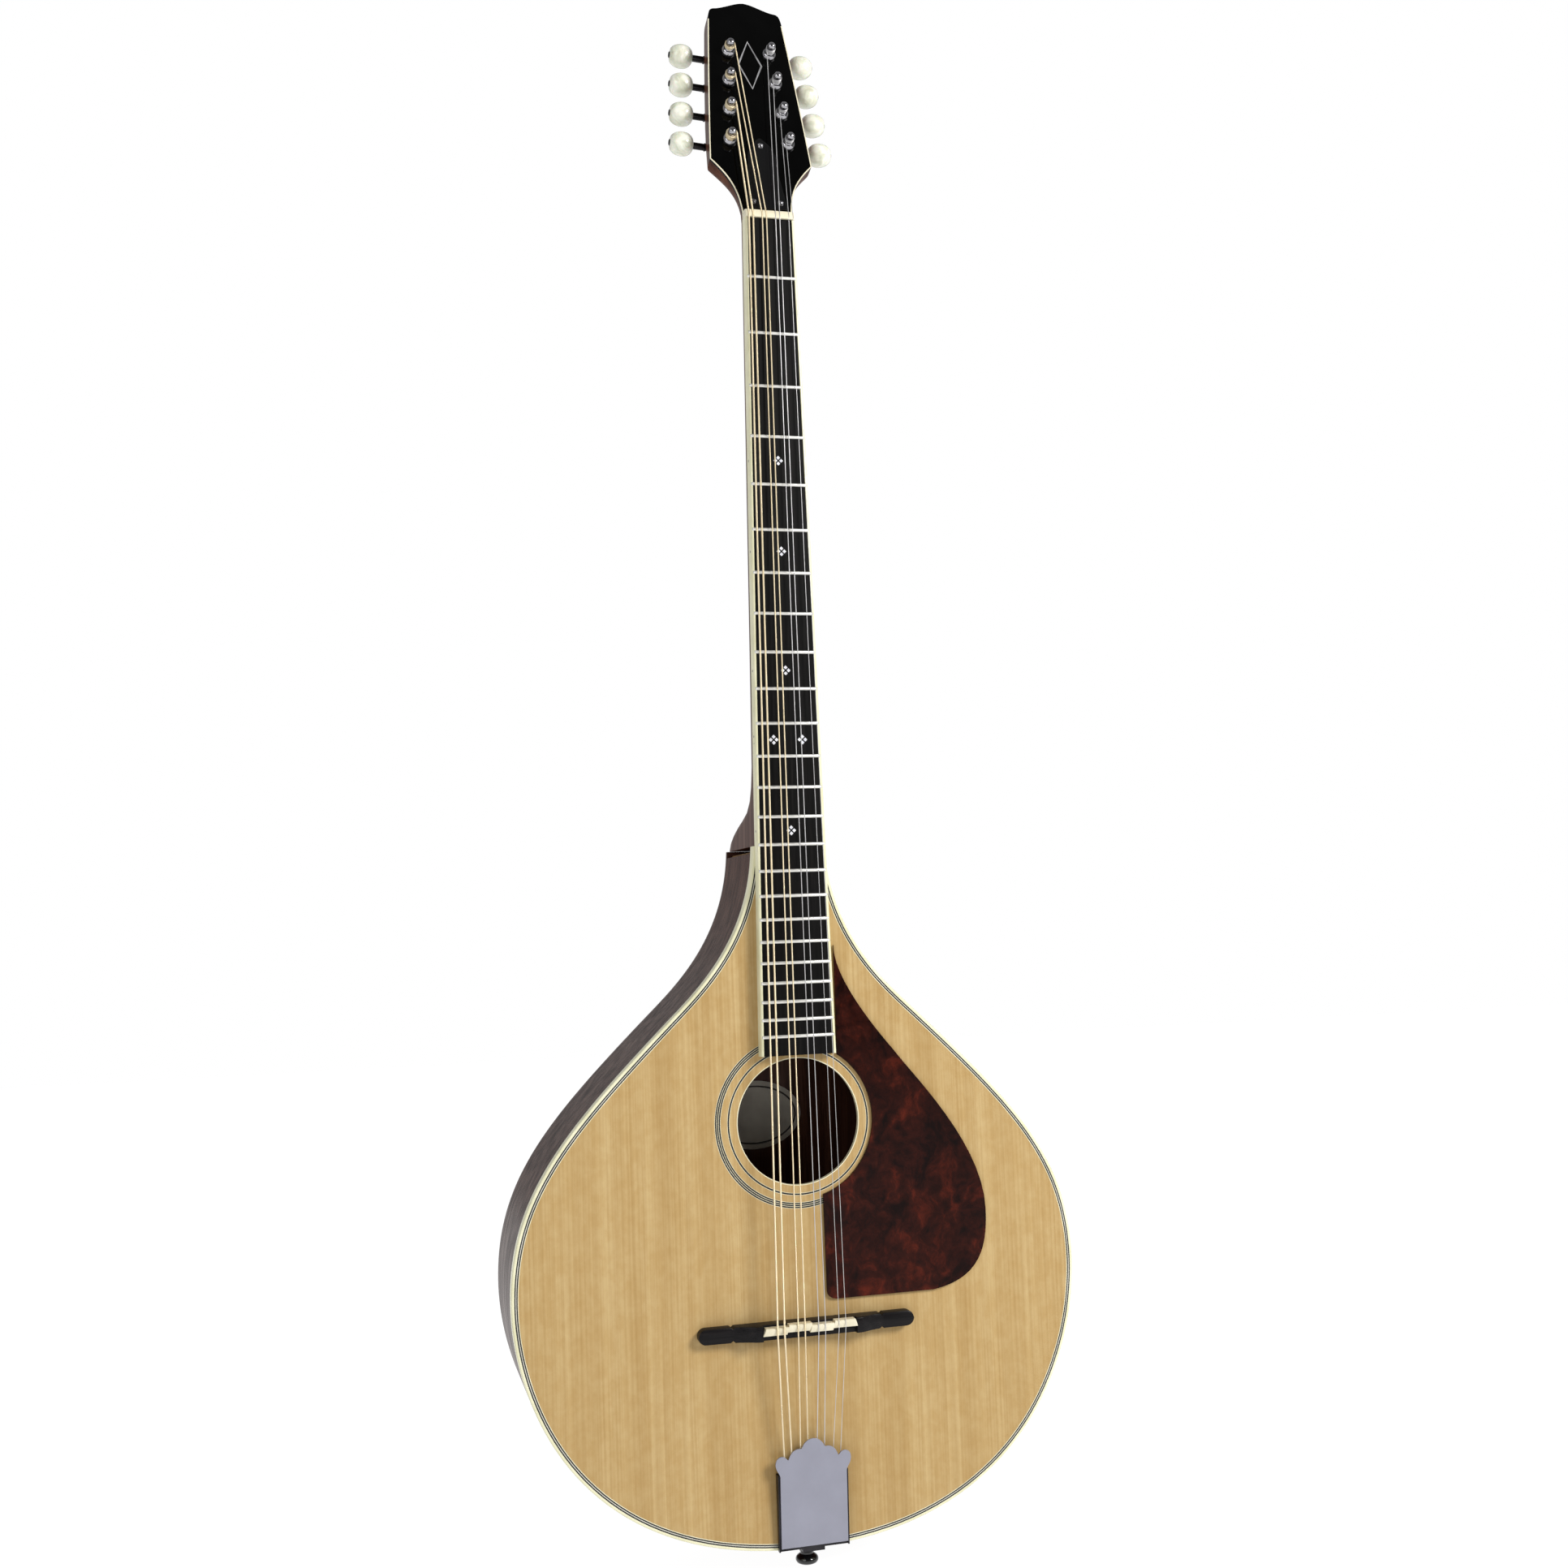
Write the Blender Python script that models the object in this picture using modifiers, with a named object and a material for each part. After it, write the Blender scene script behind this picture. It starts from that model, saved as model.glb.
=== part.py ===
"""Long-necked flat-top string instrument with four double courses, as separate pieces.

Origin: centre of the nut's front edge, on the plane of the fretboard's top.
+Z runs up the neck to the headstock, -Y is the front, +X is the treble side.
Dimensions are in millimetres and become metres where an object is made.
"""

import math

import bmesh
import bpy
from mathutils import Matrix, Vector

MM = 0.001
GAP = 0.3                       # clearance that neighbouring pieces keep

# Neck and fretboard
SCALE_LENGTH = 650.0
BOARD_END = -498.4
BOARD_THICKNESS = 6.7
BOARD_HALF_AT_NUT = 13.7        # dark wood only, without its edge strips
BOARD_HALF_AT_END = 20.85
STRIP_WIDTH = 1.6
NECK_TOP = BOARD_THICKNESS + GAP
NECK_DEPTH = 14.0               # wood behind the fretboard at the nut
NECK_HEAD_END = 18.0            # the shaft runs on inside the headstock
NECK_HEAD_SINK = 5.0            # and its flat top drops below the tilted face

# Body
TOP_FACE = 7.0                  # front face of the soundboard
TOP_THICKNESS = 3.0
NECK_JOINT = -377.0
BODY_END = -776.0
BACK_AT_NECK = 78.0             # y of the back plate's outer face at the neck joint
BACK_AT_END = 91.0
BACK_THICKNESS = 3.0
RIB_THICKNESS = 2.3
BINDING_WIDTH = 2.2
BINDING_DEPTH = 6.0
HOLE_Z = -536.8
HOLE_RADIUS = 36.2
LINING_WIDTH = 6.0
LINING_DEPTH = 7.5
NECK_BLOCK_END = -430.0
NECK_BLOCK_HALF = 18.5
TAIL_BLOCK_HALF = 30.0
CURVE_STEPS = 12

# Right half of the body's outline, as cubic curves from the neck joint to the tail
BODY_CURVES = (
    ((21.7, -377.0), (23.9, -431.2), (56.9, -459.4), (74.8, -476.7)),
    ((74.8, -476.7), (136.6, -536.2), (167.0, -569.1), (167.0, -627.4)),
    ((167.0, -627.4), (167.0, -680.8), (133.2, -776.0), (0.0, -776.0)),
)

# Headstock, in its own tilted frame: x across, y back from its face, z up
HEAD_TILT = 15.0
HEAD_FACE_Y = 4.0
OVERLAY_THICKNESS = 1.8
HEAD_BACK = 14.0
HEAD_CURVES = (
    ((15.3, 0.9), (15.3, 25.0), (24.0, 34.0), (32.0, 43.5)),
    ((32.0, 43.5), (31.0, 61.0), (27.8, 108.0), (24.0, 152.0)),
    ((24.0, 152.0), (23.2, 158.5), (22.6, 160.0), (20.0, 160.7)),
    ((20.0, 160.7), (13.0, 161.5), (6.5, 166.6), (0.0, 167.0)),
)
HEAD_STEPS = 6
OVERLAY_START = 5.6
COVER_CURVES = (
    ((12.5, 7.5), (12.5, 15.0), (9.0, 30.0), (9.0, 45.0)),
    ((9.0, 45.0), (9.0, 52.0), (4.0, 57.0), (0.0, 60.0)),
)

# Pickguard: its edge from the fretboard round to the foot of the plate
GUARD_CURVES = (
    ((24.6, -436.0), (23.0, -457.5), (57.5, -496.7), (60.0, -500.0)),
    ((60.0, -500.0), (71.0, -515.0), (112.4, -557.0), (112.4, -595.0)),
    ((112.4, -595.0), (112.4, -617.0), (107.5, -634.5), (78.0, -638.7)),
)
GUARD_STEPS = 7

# Tuners: posts stand on a line that leans inwards by SLANT degrees
SLANT = 4.3
POST_SPACING = 23.0
LOWEST_POST = (18.3, 58.8)
POST_RADIUS = 3.0
POST_HOLE_RADIUS = 3.4
POST_HEIGHT = 9.8
PLATE_FRONT = HEAD_BACK + GAP
PLATE_BACK = 15.5
GEAR_RADIUS = 4.6
WORM_OFFSET = 8.0               # worm axis above its post
WORM_DEPTH = 18.9               # worm axis behind the headstock's face
SHAFT_RADIUS = 2.2
SHAFT_BORE_RADIUS = 2.7         # of an eight-sided bore
BUTTON_START = 19.4             # along the shaft, from the line of posts

# Strings, numbered from the treble side
STRING_DIAMETERS = (0.33, 0.33, 0.5, 0.5, 0.8, 0.8, 1.1, 1.1)
NUT_STRING_BOTTOM = -1.05
SADDLE_STRING_BOTTOM = -6.5
SADDLE_Z = -650.8
HOOK_Z = -742.0
HOOK_Y = 4.2
STRING_HEIGHT_ON_POST = 5.4

# Tailpiece
COVER_TOP = -713.3
COVER_TOP_Y = -0.7
COVER_SLOPE = 3.0 / 57.0        # the cover's face drops towards the tail
COVER_SHEET = 0.9
COVER_DEPTH = 2.2
COVER_HALF = 19.5
COVER_LOW = -772.9
COVER_NECK = -732.6             # below the ears; the tray begins here too
TRAY_HALF = 20.6
TRAY_WALL = 0.8
TRAY_FLOOR = 5.5
PIN_Y = 22.0
PIN_SHANK_RADIUS = 3.7
PIN_HOLE_RADIUS = 4.0

# Truss rod
ROD_Y = 11.6
ROD_RADIUS = 2.0
ROD_NUT_RADIUS = 3.3            # to its corners
ROD_NUT_LOW = 5.0
ROD_NUT_HIGH = 15.0

for old in list(bpy.data.objects):
    bpy.data.objects.remove(old)

parts = bpy.data.collections.new("flat_top_bouzouki")
tools = bpy.data.collections.new("cutters")
bpy.context.scene.collection.children.link(parts)
bpy.context.scene.collection.children.link(tools)


# ---------------------------------------------------------------- outlines

def cubic(curve, t):
    """Point of a cubic curve at t."""
    a, b, c, d = (Vector(point) for point in curve)
    s = 1 - t
    return a * s ** 3 + b * 3 * s * s * t + c * 3 * s * t * t + d * t ** 3


def follow(curves, steps, inset=0.0):
    """Points along joined cubic curves, moved to their right-hand side by inset."""
    points = []
    for curve in curves:
        for i in range(steps):
            here = cubic(curve, i / steps)
            along = (cubic(curve, (i + 0.5) / steps) - here).normalized()
            if i:
                along = (cubic(curve, (i + 0.5) / steps) - cubic(curve, (i - 0.5) / steps)).normalized()
            points.append((here.x + along.y * inset, here.y - along.x * inset))
    end = cubic(curves[-1], 1)
    before = cubic(curves[-1], 1 - 0.5 / steps)
    along = (end - before).normalized()
    points.append((end.x + along.y * inset, end.y - along.x * inset))
    return points


def body_half(inset=0.0, top=NECK_JOINT):
    """Right half of the body's outline, inset, cut square at z = top."""
    points = follow(BODY_CURVES, CURVE_STEPS, inset)
    kept = [point for point in points if point[1] < top - 0.5]
    kept[-1] = (0.0, BODY_END + inset)
    above = points[len(points) - len(kept) - 1]
    t = (above[1] - top) / (above[1] - kept[0][1])
    start = above[0] + (kept[0][0] - above[0]) * t
    return [(start, top)] + kept


def mirrored(half):
    """Closed loop from the right half of an outline that ends on x = 0."""
    return half + [(-x, z) for x, z in reversed(half) if x > 0.01]


def flipped(loop, side):
    """The loop as it is on the treble side (1), or mirrored for the bass side (-1)."""
    return [(x * side, z) for x, z in loop]


def band(outer, inner):
    """Closed loop between two open paths that run the same way."""
    return outer + inner[::-1]


def circle(x, z, radius, count=32):
    turn = 2 * math.pi / count
    return [(x + radius * math.cos(i * turn), z + radius * math.sin(i * turn)) for i in range(count)]


def half_width(z, inset):
    """Half the body's width at height z, inside an inset."""
    half = body_half(inset)
    for (x0, z0), (x1, z1) in zip(half, half[1:]):
        if z1 <= z <= z0:
            return x0 + (x1 - x0) * (z0 - z) / (z0 - z1)
    return 0.0


def back_y(z):
    """y of the back plate's outer face at height z."""
    return BACK_AT_NECK + (BACK_AT_END - BACK_AT_NECK) * (NECK_JOINT - z) / (NECK_JOINT - BODY_END)


def cover_y(z):
    """y of the tailpiece cover's face at height z."""
    return COVER_TOP_Y + COVER_SLOPE * (COVER_TOP - z)


def to_tray(y, z):
    """Shear that carries a wall from just under the cover's face to the tray's floor."""
    return cover_y(z) + 1.25 if y < 3 else TRAY_FLOOR + 0.6


# ---------------------------------------------------------------- builders

def add_empty(name, parent=None, location=(0, 0, 0), rotation=(0, 0, 0)):
    empty = bpy.data.objects.new(name, None)
    parts.objects.link(empty)
    empty.parent = parent
    empty.location = Vector(location) * MM
    empty.rotation_euler = [math.radians(angle) for angle in rotation]
    return empty


def add_object(name, data, parent=None, location=(0, 0, 0), rotation=(0, 0, 0), tool=False):
    piece = bpy.data.objects.new(name, data)
    (tools if tool else parts).objects.link(piece)
    piece.parent = parent
    piece.location = Vector(location) * MM
    piece.rotation_euler = [math.radians(angle) for angle in rotation]
    if tool:
        piece.hide_render = True
        piece.display_type = 'WIRE'
    return piece


def slab(name, loops, low, high, shift=None, parent=None, tool=False):
    """Plate with its outline in XZ, from y = low to y = high, sheared in y by shift(z)."""
    curve = bpy.data.curves.new(name, 'CURVE')
    curve.dimensions = '2D'
    curve.fill_mode = 'BOTH'
    curve.extrude = (high - low) / 2 * MM
    for loop in loops:
        spline = curve.splines.new('POLY')
        spline.points.add(len(loop) - 1)
        spline.use_cyclic_u = True
        for point, (x, z) in zip(spline.points, loop):
            point.co = (x * MM, z * MM, 0, 1)
    drawn = bpy.data.objects.new(name, curve)
    tools.objects.link(drawn)
    graph = bpy.context.evaluated_depsgraph_get()
    mesh = bpy.data.meshes.new_from_object(drawn.evaluated_get(graph))
    bpy.data.objects.remove(drawn)
    bm = bmesh.new()
    bm.from_mesh(mesh)
    bmesh.ops.remove_doubles(bm, verts=bm.verts, dist=0.000001)
    bm.transform(Matrix.Rotation(math.radians(90), 4, 'X'))
    middle = (low + high) / 2
    for vertex in bm.verts:
        vertex.co.y += middle * MM
        if shift:
            vertex.co.y = shift(vertex.co.y / MM, vertex.co.z / MM) * MM
    bm.to_mesh(mesh)
    bm.free()
    return add_object(name, mesh, parent, tool=tool)


def blocks(name, boxes, parent=None, tool=False):
    """Boxes given by their low and high corners, in one object."""
    bm = bmesh.new()
    for low, high in boxes:
        low, high = Vector(low) * MM, Vector(high) * MM
        size = Matrix.Diagonal((*(high - low), 1))
        bmesh.ops.create_cube(bm, size=1, matrix=Matrix.Translation((low + high) / 2) @ size)
    mesh = bpy.data.meshes.new(name)
    bm.to_mesh(mesh)
    bm.free()
    return add_object(name, mesh, parent, tool=tool)


def rods(name, ends, radius, sides=16, parent=None, tool=False):
    """Cylinders between pairs of points, in one object."""
    bm = bmesh.new()
    for start, end in ends:
        start, end = Vector(start) * MM, Vector(end) * MM
        turn = (end - start).to_track_quat('Z', 'Y').to_matrix().to_4x4()
        place = Matrix.Translation((start + end) / 2) @ turn
        bmesh.ops.create_cone(bm, cap_ends=True, segments=sides, radius1=radius * MM,
                              radius2=radius * MM, depth=(end - start).length, matrix=place)
    mesh = bpy.data.meshes.new(name)
    bm.to_mesh(mesh)
    bm.free()
    return add_object(name, mesh, parent, tool=tool)


def turned(name, profile, steps, parent=None, location=(0, 0, 0), rotation=(0, 0, 0)):
    """Solid of revolution about local Z; the profile runs from top to bottom as (radius, z)."""
    mesh = bpy.data.meshes.new(name)
    points = [(radius * MM, 0, z * MM) for radius, z in profile]
    mesh.from_pydata(points, [(i, i + 1) for i in range(len(points) - 1)], [])
    piece = add_object(name, mesh, parent, location, rotation)
    screw = piece.modifiers.new("turn", 'SCREW')
    screw.steps = steps
    screw.render_steps = steps
    screw.use_merge_vertices = True
    screw.merge_threshold = 0.00001
    return piece


def wire(name, points, diameter):
    """Round wire through points."""
    curve = bpy.data.curves.new(name, 'CURVE')
    curve.dimensions = '3D'
    curve.bevel_depth = diameter / 2 * MM
    curve.bevel_resolution = 2
    curve.use_fill_caps = True
    spline = curve.splines.new('POLY')
    spline.points.add(len(points) - 1)
    for point, place in zip(spline.points, points):
        point.co = (*(Vector(place) * MM), 1)
    return add_object(name, curve)


def combine(piece, tool, operation='DIFFERENCE'):
    boolean = piece.modifiers.new(tool.name, 'BOOLEAN')
    boolean.operation = operation
    boolean.solver = 'EXACT'
    boolean.object = tool


def paint(piece, color, roughness=0.5, metallic=0.0):
    """Give the piece a material of its own."""
    material = bpy.data.materials.new(piece.name)
    material.use_nodes = True
    shader = material.node_tree.nodes["Principled BSDF"]
    shader.inputs["Base Color"].default_value = (*color, 1)
    shader.inputs["Roughness"].default_value = roughness
    shader.inputs["Metallic"].default_value = metallic
    piece.data.materials.append(material)
    return piece


SPRUCE = (0.66, 0.45, 0.22)
BRACE_WOOD = (0.60, 0.43, 0.24)
MAHOGANY = (0.09, 0.035, 0.02)
NECK_WOOD = (0.11, 0.045, 0.025)
EBONY = (0.012, 0.01, 0.01)
IVORY = (0.70, 0.66, 0.44)
BONE = (0.80, 0.76, 0.62)
PEARL = (0.75, 0.76, 0.66)
TORTOISE = (0.05, 0.012, 0.008)
GLOSS_BLACK = (0.008, 0.008, 0.009)
NICKEL = (0.62, 0.61, 0.62)
STEEL = (0.55, 0.55, 0.56)
BRONZE = (0.52, 0.30, 0.14)

SIDES = (("treble", 1), ("bass", -1))


# ---------------------------------------------------------------- body

def make_plates():
    """Soundboard with its hole, and the sloping back."""
    outline = mirrored(body_half(BINDING_WIDTH + GAP, NECK_JOINT - GAP))
    hole = circle(0, HOLE_Z, HOLE_RADIUS, 40)
    paint(slab("soundboard", [outline, hole], TOP_FACE, TOP_FACE + TOP_THICKNESS), SPRUCE, 0.35)
    back = slab("back_plate", [mirrored(body_half())], -BACK_THICKNESS, 0, lambda y, z: y + back_y(z))
    paint(back, MAHOGANY, 0.3)


def to_back(clearance):
    """Shear that carries a piece's back edge to the back plate's inner face."""
    def shift(y, z):
        if y < BACK_AT_NECK / 2:
            return y
        return back_y(z) - BACK_THICKNESS - clearance
    return shift


def make_ribs():
    """Bent sides, their binding, and the glued linings inside."""
    under_top = TOP_FACE + TOP_THICKNESS + GAP
    rib_top = NECK_JOINT - GAP / 2
    half_joint = [(GAP / 2, rib_top)]
    outer = half_joint + body_half(0, rib_top)[:-1] + [(GAP / 2, BODY_END)]
    inner_top = rib_top - RIB_THICKNESS
    inner = [(GAP / 2, inner_top)] + body_half(RIB_THICKNESS, inner_top)[:-1]
    inner.append((GAP / 2, BODY_END + RIB_THICKNESS))
    rib = band(outer, inner)
    lining = [
        [point for point in body_half(inset) if point[1] < NECK_BLOCK_END - 1 and point[0] > TAIL_BLOCK_HALF + 1]
        for inset in (RIB_THICKNESS + GAP, RIB_THICKNESS + GAP + LINING_WIDTH)
    ]
    for side_name, side in SIDES:
        low = TOP_FACE + BINDING_DEPTH + GAP
        piece = slab("side_" + side_name, [flipped(rib, side)], low, BACK_AT_NECK, to_back(GAP))
        paint(piece, MAHOGANY, 0.3)
        loop = flipped(band(*lining), side)
        top = slab("lining_top_" + side_name, [loop], under_top, under_top + LINING_DEPTH)
        paint(top, BRACE_WOOD, 0.7)
        back = slab("lining_back_" + side_name, [loop], -LINING_DEPTH, 0,
                    lambda y, z: y + back_y(z) - BACK_THICKNESS - GAP)
        paint(back, BRACE_WOOD, 0.7)
    edge = body_half()
    within = body_half(BINDING_WIDTH)
    ring = mirrored(edge) + mirrored(within)[::-1]
    paint(slab("body_binding", [ring], TOP_FACE, TOP_FACE + BINDING_DEPTH), IVORY, 0.3)


def make_blocks():
    """End blocks that reach from the soundboard to the back."""
    under_top = TOP_FACE + TOP_THICKNESS + GAP
    block_top = NECK_JOINT - GAP / 2 - RIB_THICKNESS - GAP
    block_bottom = BODY_END + RIB_THICKNESS + GAP + 2.5
    spans = (
        ("neck_block", NECK_BLOCK_HALF, NECK_BLOCK_END, block_top),
        ("tail_block", TAIL_BLOCK_HALF, block_bottom, block_bottom + 25),
    )
    for name, half, low, high in spans:
        loop = [(half, low), (half, high), (-half, high), (-half, low)]
        paint(slab(name, [loop], under_top, BACK_AT_NECK, to_back(GAP)), BRACE_WOOD, 0.7)


def brace(name, z, depth, width, y, towards_back):
    """Bar across the body on the inner face of the top or the back, lower at its ends."""
    inset = RIB_THICKNESS + GAP + LINING_WIDTH + 3
    half = min(half_width(z + width, inset), half_width(z - width, inset)) - 2
    piece = blocks(name, [((-half, 0, -width / 2), (half, depth, width / 2))])
    for vertex in piece.data.vertices:
        if vertex.co.y > depth / 2 * MM:
            vertex.co.x *= 0.86
    piece.location = Vector((0, y, z)) * MM
    if towards_back:
        piece.rotation_euler.x = math.pi
    return paint(piece, BRACE_WOOD, 0.7)


def make_braces():
    under_top = TOP_FACE + TOP_THICKNESS + GAP
    brace("brace_above_hole", -487, 12, 8, under_top, False)
    brace("brace_below_hole", -592, 12, 8, under_top, False)
    for side_name, side in SIDES:
        loop = flipped([(16, -600), (23, -600), (37, -745), (30, -745)], side)
        paint(slab("tone_bar_" + side_name, [loop], under_top, under_top + 9), BRACE_WOOD, 0.7)
    for name, z in (("upper", -465), ("middle", -590), ("lower", -695)):
        brace("back_brace_" + name, z, 12, 9, back_y(z) - BACK_THICKNESS - 2 * GAP, True)


def make_pickguard():
    """Plate between the fretboard, the rosette and the strings."""
    outer = follow(GUARD_CURVES, GUARD_STEPS)
    outer += [(18.2, -638.7), (14.5, -637.2), (13.2, -634), (13, -580)]
    radius = 44.3
    start, end = math.radians(-73), math.radians(57)
    arc = []
    for i in range(17):
        angle = start + (end - start) * i / 16
        arc.append((radius * math.cos(angle), HOLE_Z + radius * math.sin(angle)))
    loop = outer + arc
    paint(slab("pickguard", [loop], TOP_FACE - GAP - 1.6, TOP_FACE - GAP), TORTOISE, 0.2)


# ---------------------------------------------------------------- neck

def board_half(z):
    """Half width of the fretboard's dark wood at height z."""
    t = min(max(z / BOARD_END, 0), 1)
    return BOARD_HALF_AT_NUT + (BOARD_HALF_AT_END - BOARD_HALF_AT_NUT) * t


def make_fretboard():
    end_half = board_half(BOARD_END)
    start_half = board_half(0)
    core = [(start_half - GAP, 0), (end_half - GAP, BOARD_END)]
    core += [(-x, z) for x, z in reversed(core)]
    paint(slab("fretboard", [core], 0, BOARD_THICKNESS), EBONY, 0.45)
    strip = [(start_half, 0), (start_half + STRIP_WIDTH, 0)]
    strip += [(end_half + STRIP_WIDTH, BOARD_END), (end_half, BOARD_END)]
    for side_name, side in SIDES:
        piece = slab("fretboard_binding_" + side_name, [flipped(strip, side)], 0, BOARD_THICKNESS)
        paint(piece, IVORY, 0.35)


def neck_section(z, half, top, depth, square):
    """Ring of points: flat at y = top, rounded at the back; square > 2 is boxier."""
    ring = []
    count = 14
    for i in range(count + 1):
        angle = math.pi * i / count
        x = half * math.copysign(abs(math.cos(angle)) ** (2 / square), math.cos(angle))
        y = top + depth * math.sin(angle) ** (2 / square)
        ring.append(Vector((x, y, z)) * MM)
    return ring


def head_wood(head):
    """Headstock's wood: square at its top, as round at its back as the neck near the nut."""
    front = OVERLAY_THICKNESS + GAP
    deep = HEAD_BACK - front
    bm = bmesh.new()
    rings = []
    for depth in (0, 4.0, 7.0, 9.2, 10.8, deep):
        ring = []
        for x, z in mirrored(follow(HEAD_CURVES, HEAD_STEPS)):
            blend = min(z / 75.0, 1.0)
            square = 2.1 + 0.9 * blend + 17.0 * blend ** 3
            narrow = (1 - (depth / (deep + 0.4)) ** square) ** (1 / square)
            ring.append(bm.verts.new(Vector((x * narrow, front + depth, z)) * MM))
        rings.append(ring)
    for upper, lower in zip(rings, rings[1:]):
        for i in range(len(upper)):
            j = (i + 1) % len(upper)
            bm.faces.new((upper[i], upper[j], lower[j], lower[i]))
    bm.faces.new(rings[0])
    bm.faces.new(rings[-1][::-1])
    bmesh.ops.recalc_face_normals(bm, faces=bm.faces)
    mesh = bpy.data.meshes.new("headstock_wood")
    bm.to_mesh(mesh)
    bm.free()
    return add_object("headstock_wood", mesh, head, tool=True)


def make_neck(head):
    """Shaft, heel and headstock of one piece of wood."""
    heel = (
        (-330, 17.6, 2.4), (-345, 20.0, 2.8), (-355, 24.0, 3.3), (-360, 29.0, 4.0),
        (-364, 39.0, 5.0), (-367.5, 52.0, 6.5), (-371, 62.5, 8.5), (-374, 68.0, 10.5),
        (NECK_JOINT + GAP / 2, 70.5, 12.0),
    )
    sections = [(NECK_HEAD_END, NECK_DEPTH - NECK_HEAD_SINK, 2.3), (0, NECK_DEPTH, 2.3), (-165, 15.7, 2.3)]
    sections += list(heel)
    bm = bmesh.new()
    rings = []
    for z, depth, square in sections:
        half = board_half(z) + STRIP_WIDTH
        top = NECK_TOP + (NECK_HEAD_SINK if z > 0 else 0)
        rings.append([bm.verts.new(point) for point in neck_section(z, half, top, depth, square)])
    for upper, lower in zip(rings, rings[1:]):
        for i in range(len(upper)):
            j = (i + 1) % len(upper)
            bm.faces.new((upper[i], upper[j], lower[j], lower[i]))
    bm.faces.new(rings[0])
    bm.faces.new(rings[-1][::-1])
    bmesh.ops.recalc_face_normals(bm, faces=bm.faces)
    mesh = bpy.data.meshes.new("neck")
    bm.to_mesh(mesh)
    bm.free()
    neck = paint(add_object("neck", mesh), NECK_WOOD, 0.3)

    combine(neck, head_wood(head), 'UNION')
    channel = blocks("rod_channel", [((-3.6, 5, -352), (3.6, 15.4, 16.5))], tool=True)
    combine(neck, channel)
    pocket = blocks("rod_pocket", [((-5, -1, 10), (5, 9.5, 38))], parent=head, tool=True)
    combine(neck, pocket)

    start = [point for point in follow(HEAD_CURVES, HEAD_STEPS) if point[1] > OVERLAY_START]
    overlay_loop = mirrored([(15.33, OVERLAY_START)] + start)
    overlay = slab("headstock_overlay", [overlay_loop], 0, OVERLAY_THICKNESS, parent=head)
    paint(overlay, GLOSS_BLACK, 0.12)
    combine(overlay, pocket)

    axes = []
    for side in (1, -1):
        for row in range(4):
            x, z = post_place(side, row)
            axes.append(((x, -5, z), (x, HEAD_BACK + 5, z)))
    holes = rods("post_holes", axes, POST_HOLE_RADIUS, 12, head, True)
    combine(neck, holes)
    combine(overlay, holes)
    cover = slab("truss_rod_cover", [mirrored(follow(COVER_CURVES, HEAD_STEPS))], -2.3, -GAP, parent=head)
    paint(cover, GLOSS_BLACK, 0.2)


def make_truss_rod():
    rod = rods("truss_rod", [((0, ROD_Y, -345), (0, ROD_Y, ROD_NUT_HIGH - 3.5))], ROD_RADIUS, 12)
    paint(rod, STEEL, 0.4, 1)
    bore = (ROD_RADIUS + GAP) / math.cos(math.radians(30))
    profile = [(0, ROD_NUT_HIGH), (ROD_NUT_RADIUS, ROD_NUT_HIGH), (ROD_NUT_RADIUS, ROD_NUT_LOW)]
    profile += [(bore, ROD_NUT_LOW), (bore, ROD_NUT_HIGH - 3), (0, ROD_NUT_HIGH - 3)]
    nut = turned("truss_rod_nut", profile, 6, location=(0, ROD_Y, 0))
    paint(nut, (0.6, 0.42, 0.15), 0.35, 1)


def make_nut():
    """Bone nut, its top falling towards the headstock."""
    bm = bmesh.new()
    half = board_half(0) + STRIP_WIDTH
    bmesh.ops.create_cube(bm, size=1, matrix=Matrix.Diagonal((2 * half * MM, 6.45 * MM, 4.7 * MM, 1)))
    for vertex in bm.verts:
        vertex.co += Vector((0, 2.475, 2.65)) * MM
        if vertex.co.y < 0 and vertex.co.z > 2.65 * MM:
            vertex.co.y += 1.2 * MM
    mesh = bpy.data.meshes.new("nut")
    bm.to_mesh(mesh)
    bm.free()
    paint(add_object("nut", mesh), BONE, 0.35)


# ---------------------------------------------------------------- bridge and tailpiece

def make_bridge():
    """Floating bridge with low feet and a seat for its bone saddle."""
    middle, half_depth = -652.6, 4.4
    half = [(63.7, 0), (63.7, 5.6), (62, 6.2), (44, 6.5), (40, 7.6), (34, 9.6), (30.6, 11.5)]
    half += [(27.6, 11.5), (27.6, 8.2), (0, 8.2)]
    bridge = slab("bridge", [mirrored(half)], -half_depth, half_depth)
    bridge.rotation_euler.x = math.radians(90)
    bridge.location = Vector((0, TOP_FACE - GAP, middle)) * MM
    paint(bridge, EBONY, 0.4)
    edge = [(42.8, half_depth), (44, half_depth - 1), (45.2, half_depth)]
    rounded = circle(63.7 - half_depth, 0, half_depth)[-7:] + circle(63.7 - half_depth, 0, half_depth)[:8]
    right = [(x, -z) for x, z in edge] + rounded + edge[::-1]
    plan = [(x, middle + z) for x, z in right + [(-x, z) for x, z in right[::-1]]]
    combine(bridge, slab("bridge_plan", [plan], -20, 20, tool=True), 'INTERSECT')
    top = SADDLE_STRING_BOTTOM + GAP
    low = TOP_FACE - GAP - 8.2 - GAP
    saddle = blocks("saddle", [((-27, top, -653.4), (27, low, -647.6))])
    paint(saddle, BONE, 0.35)


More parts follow.
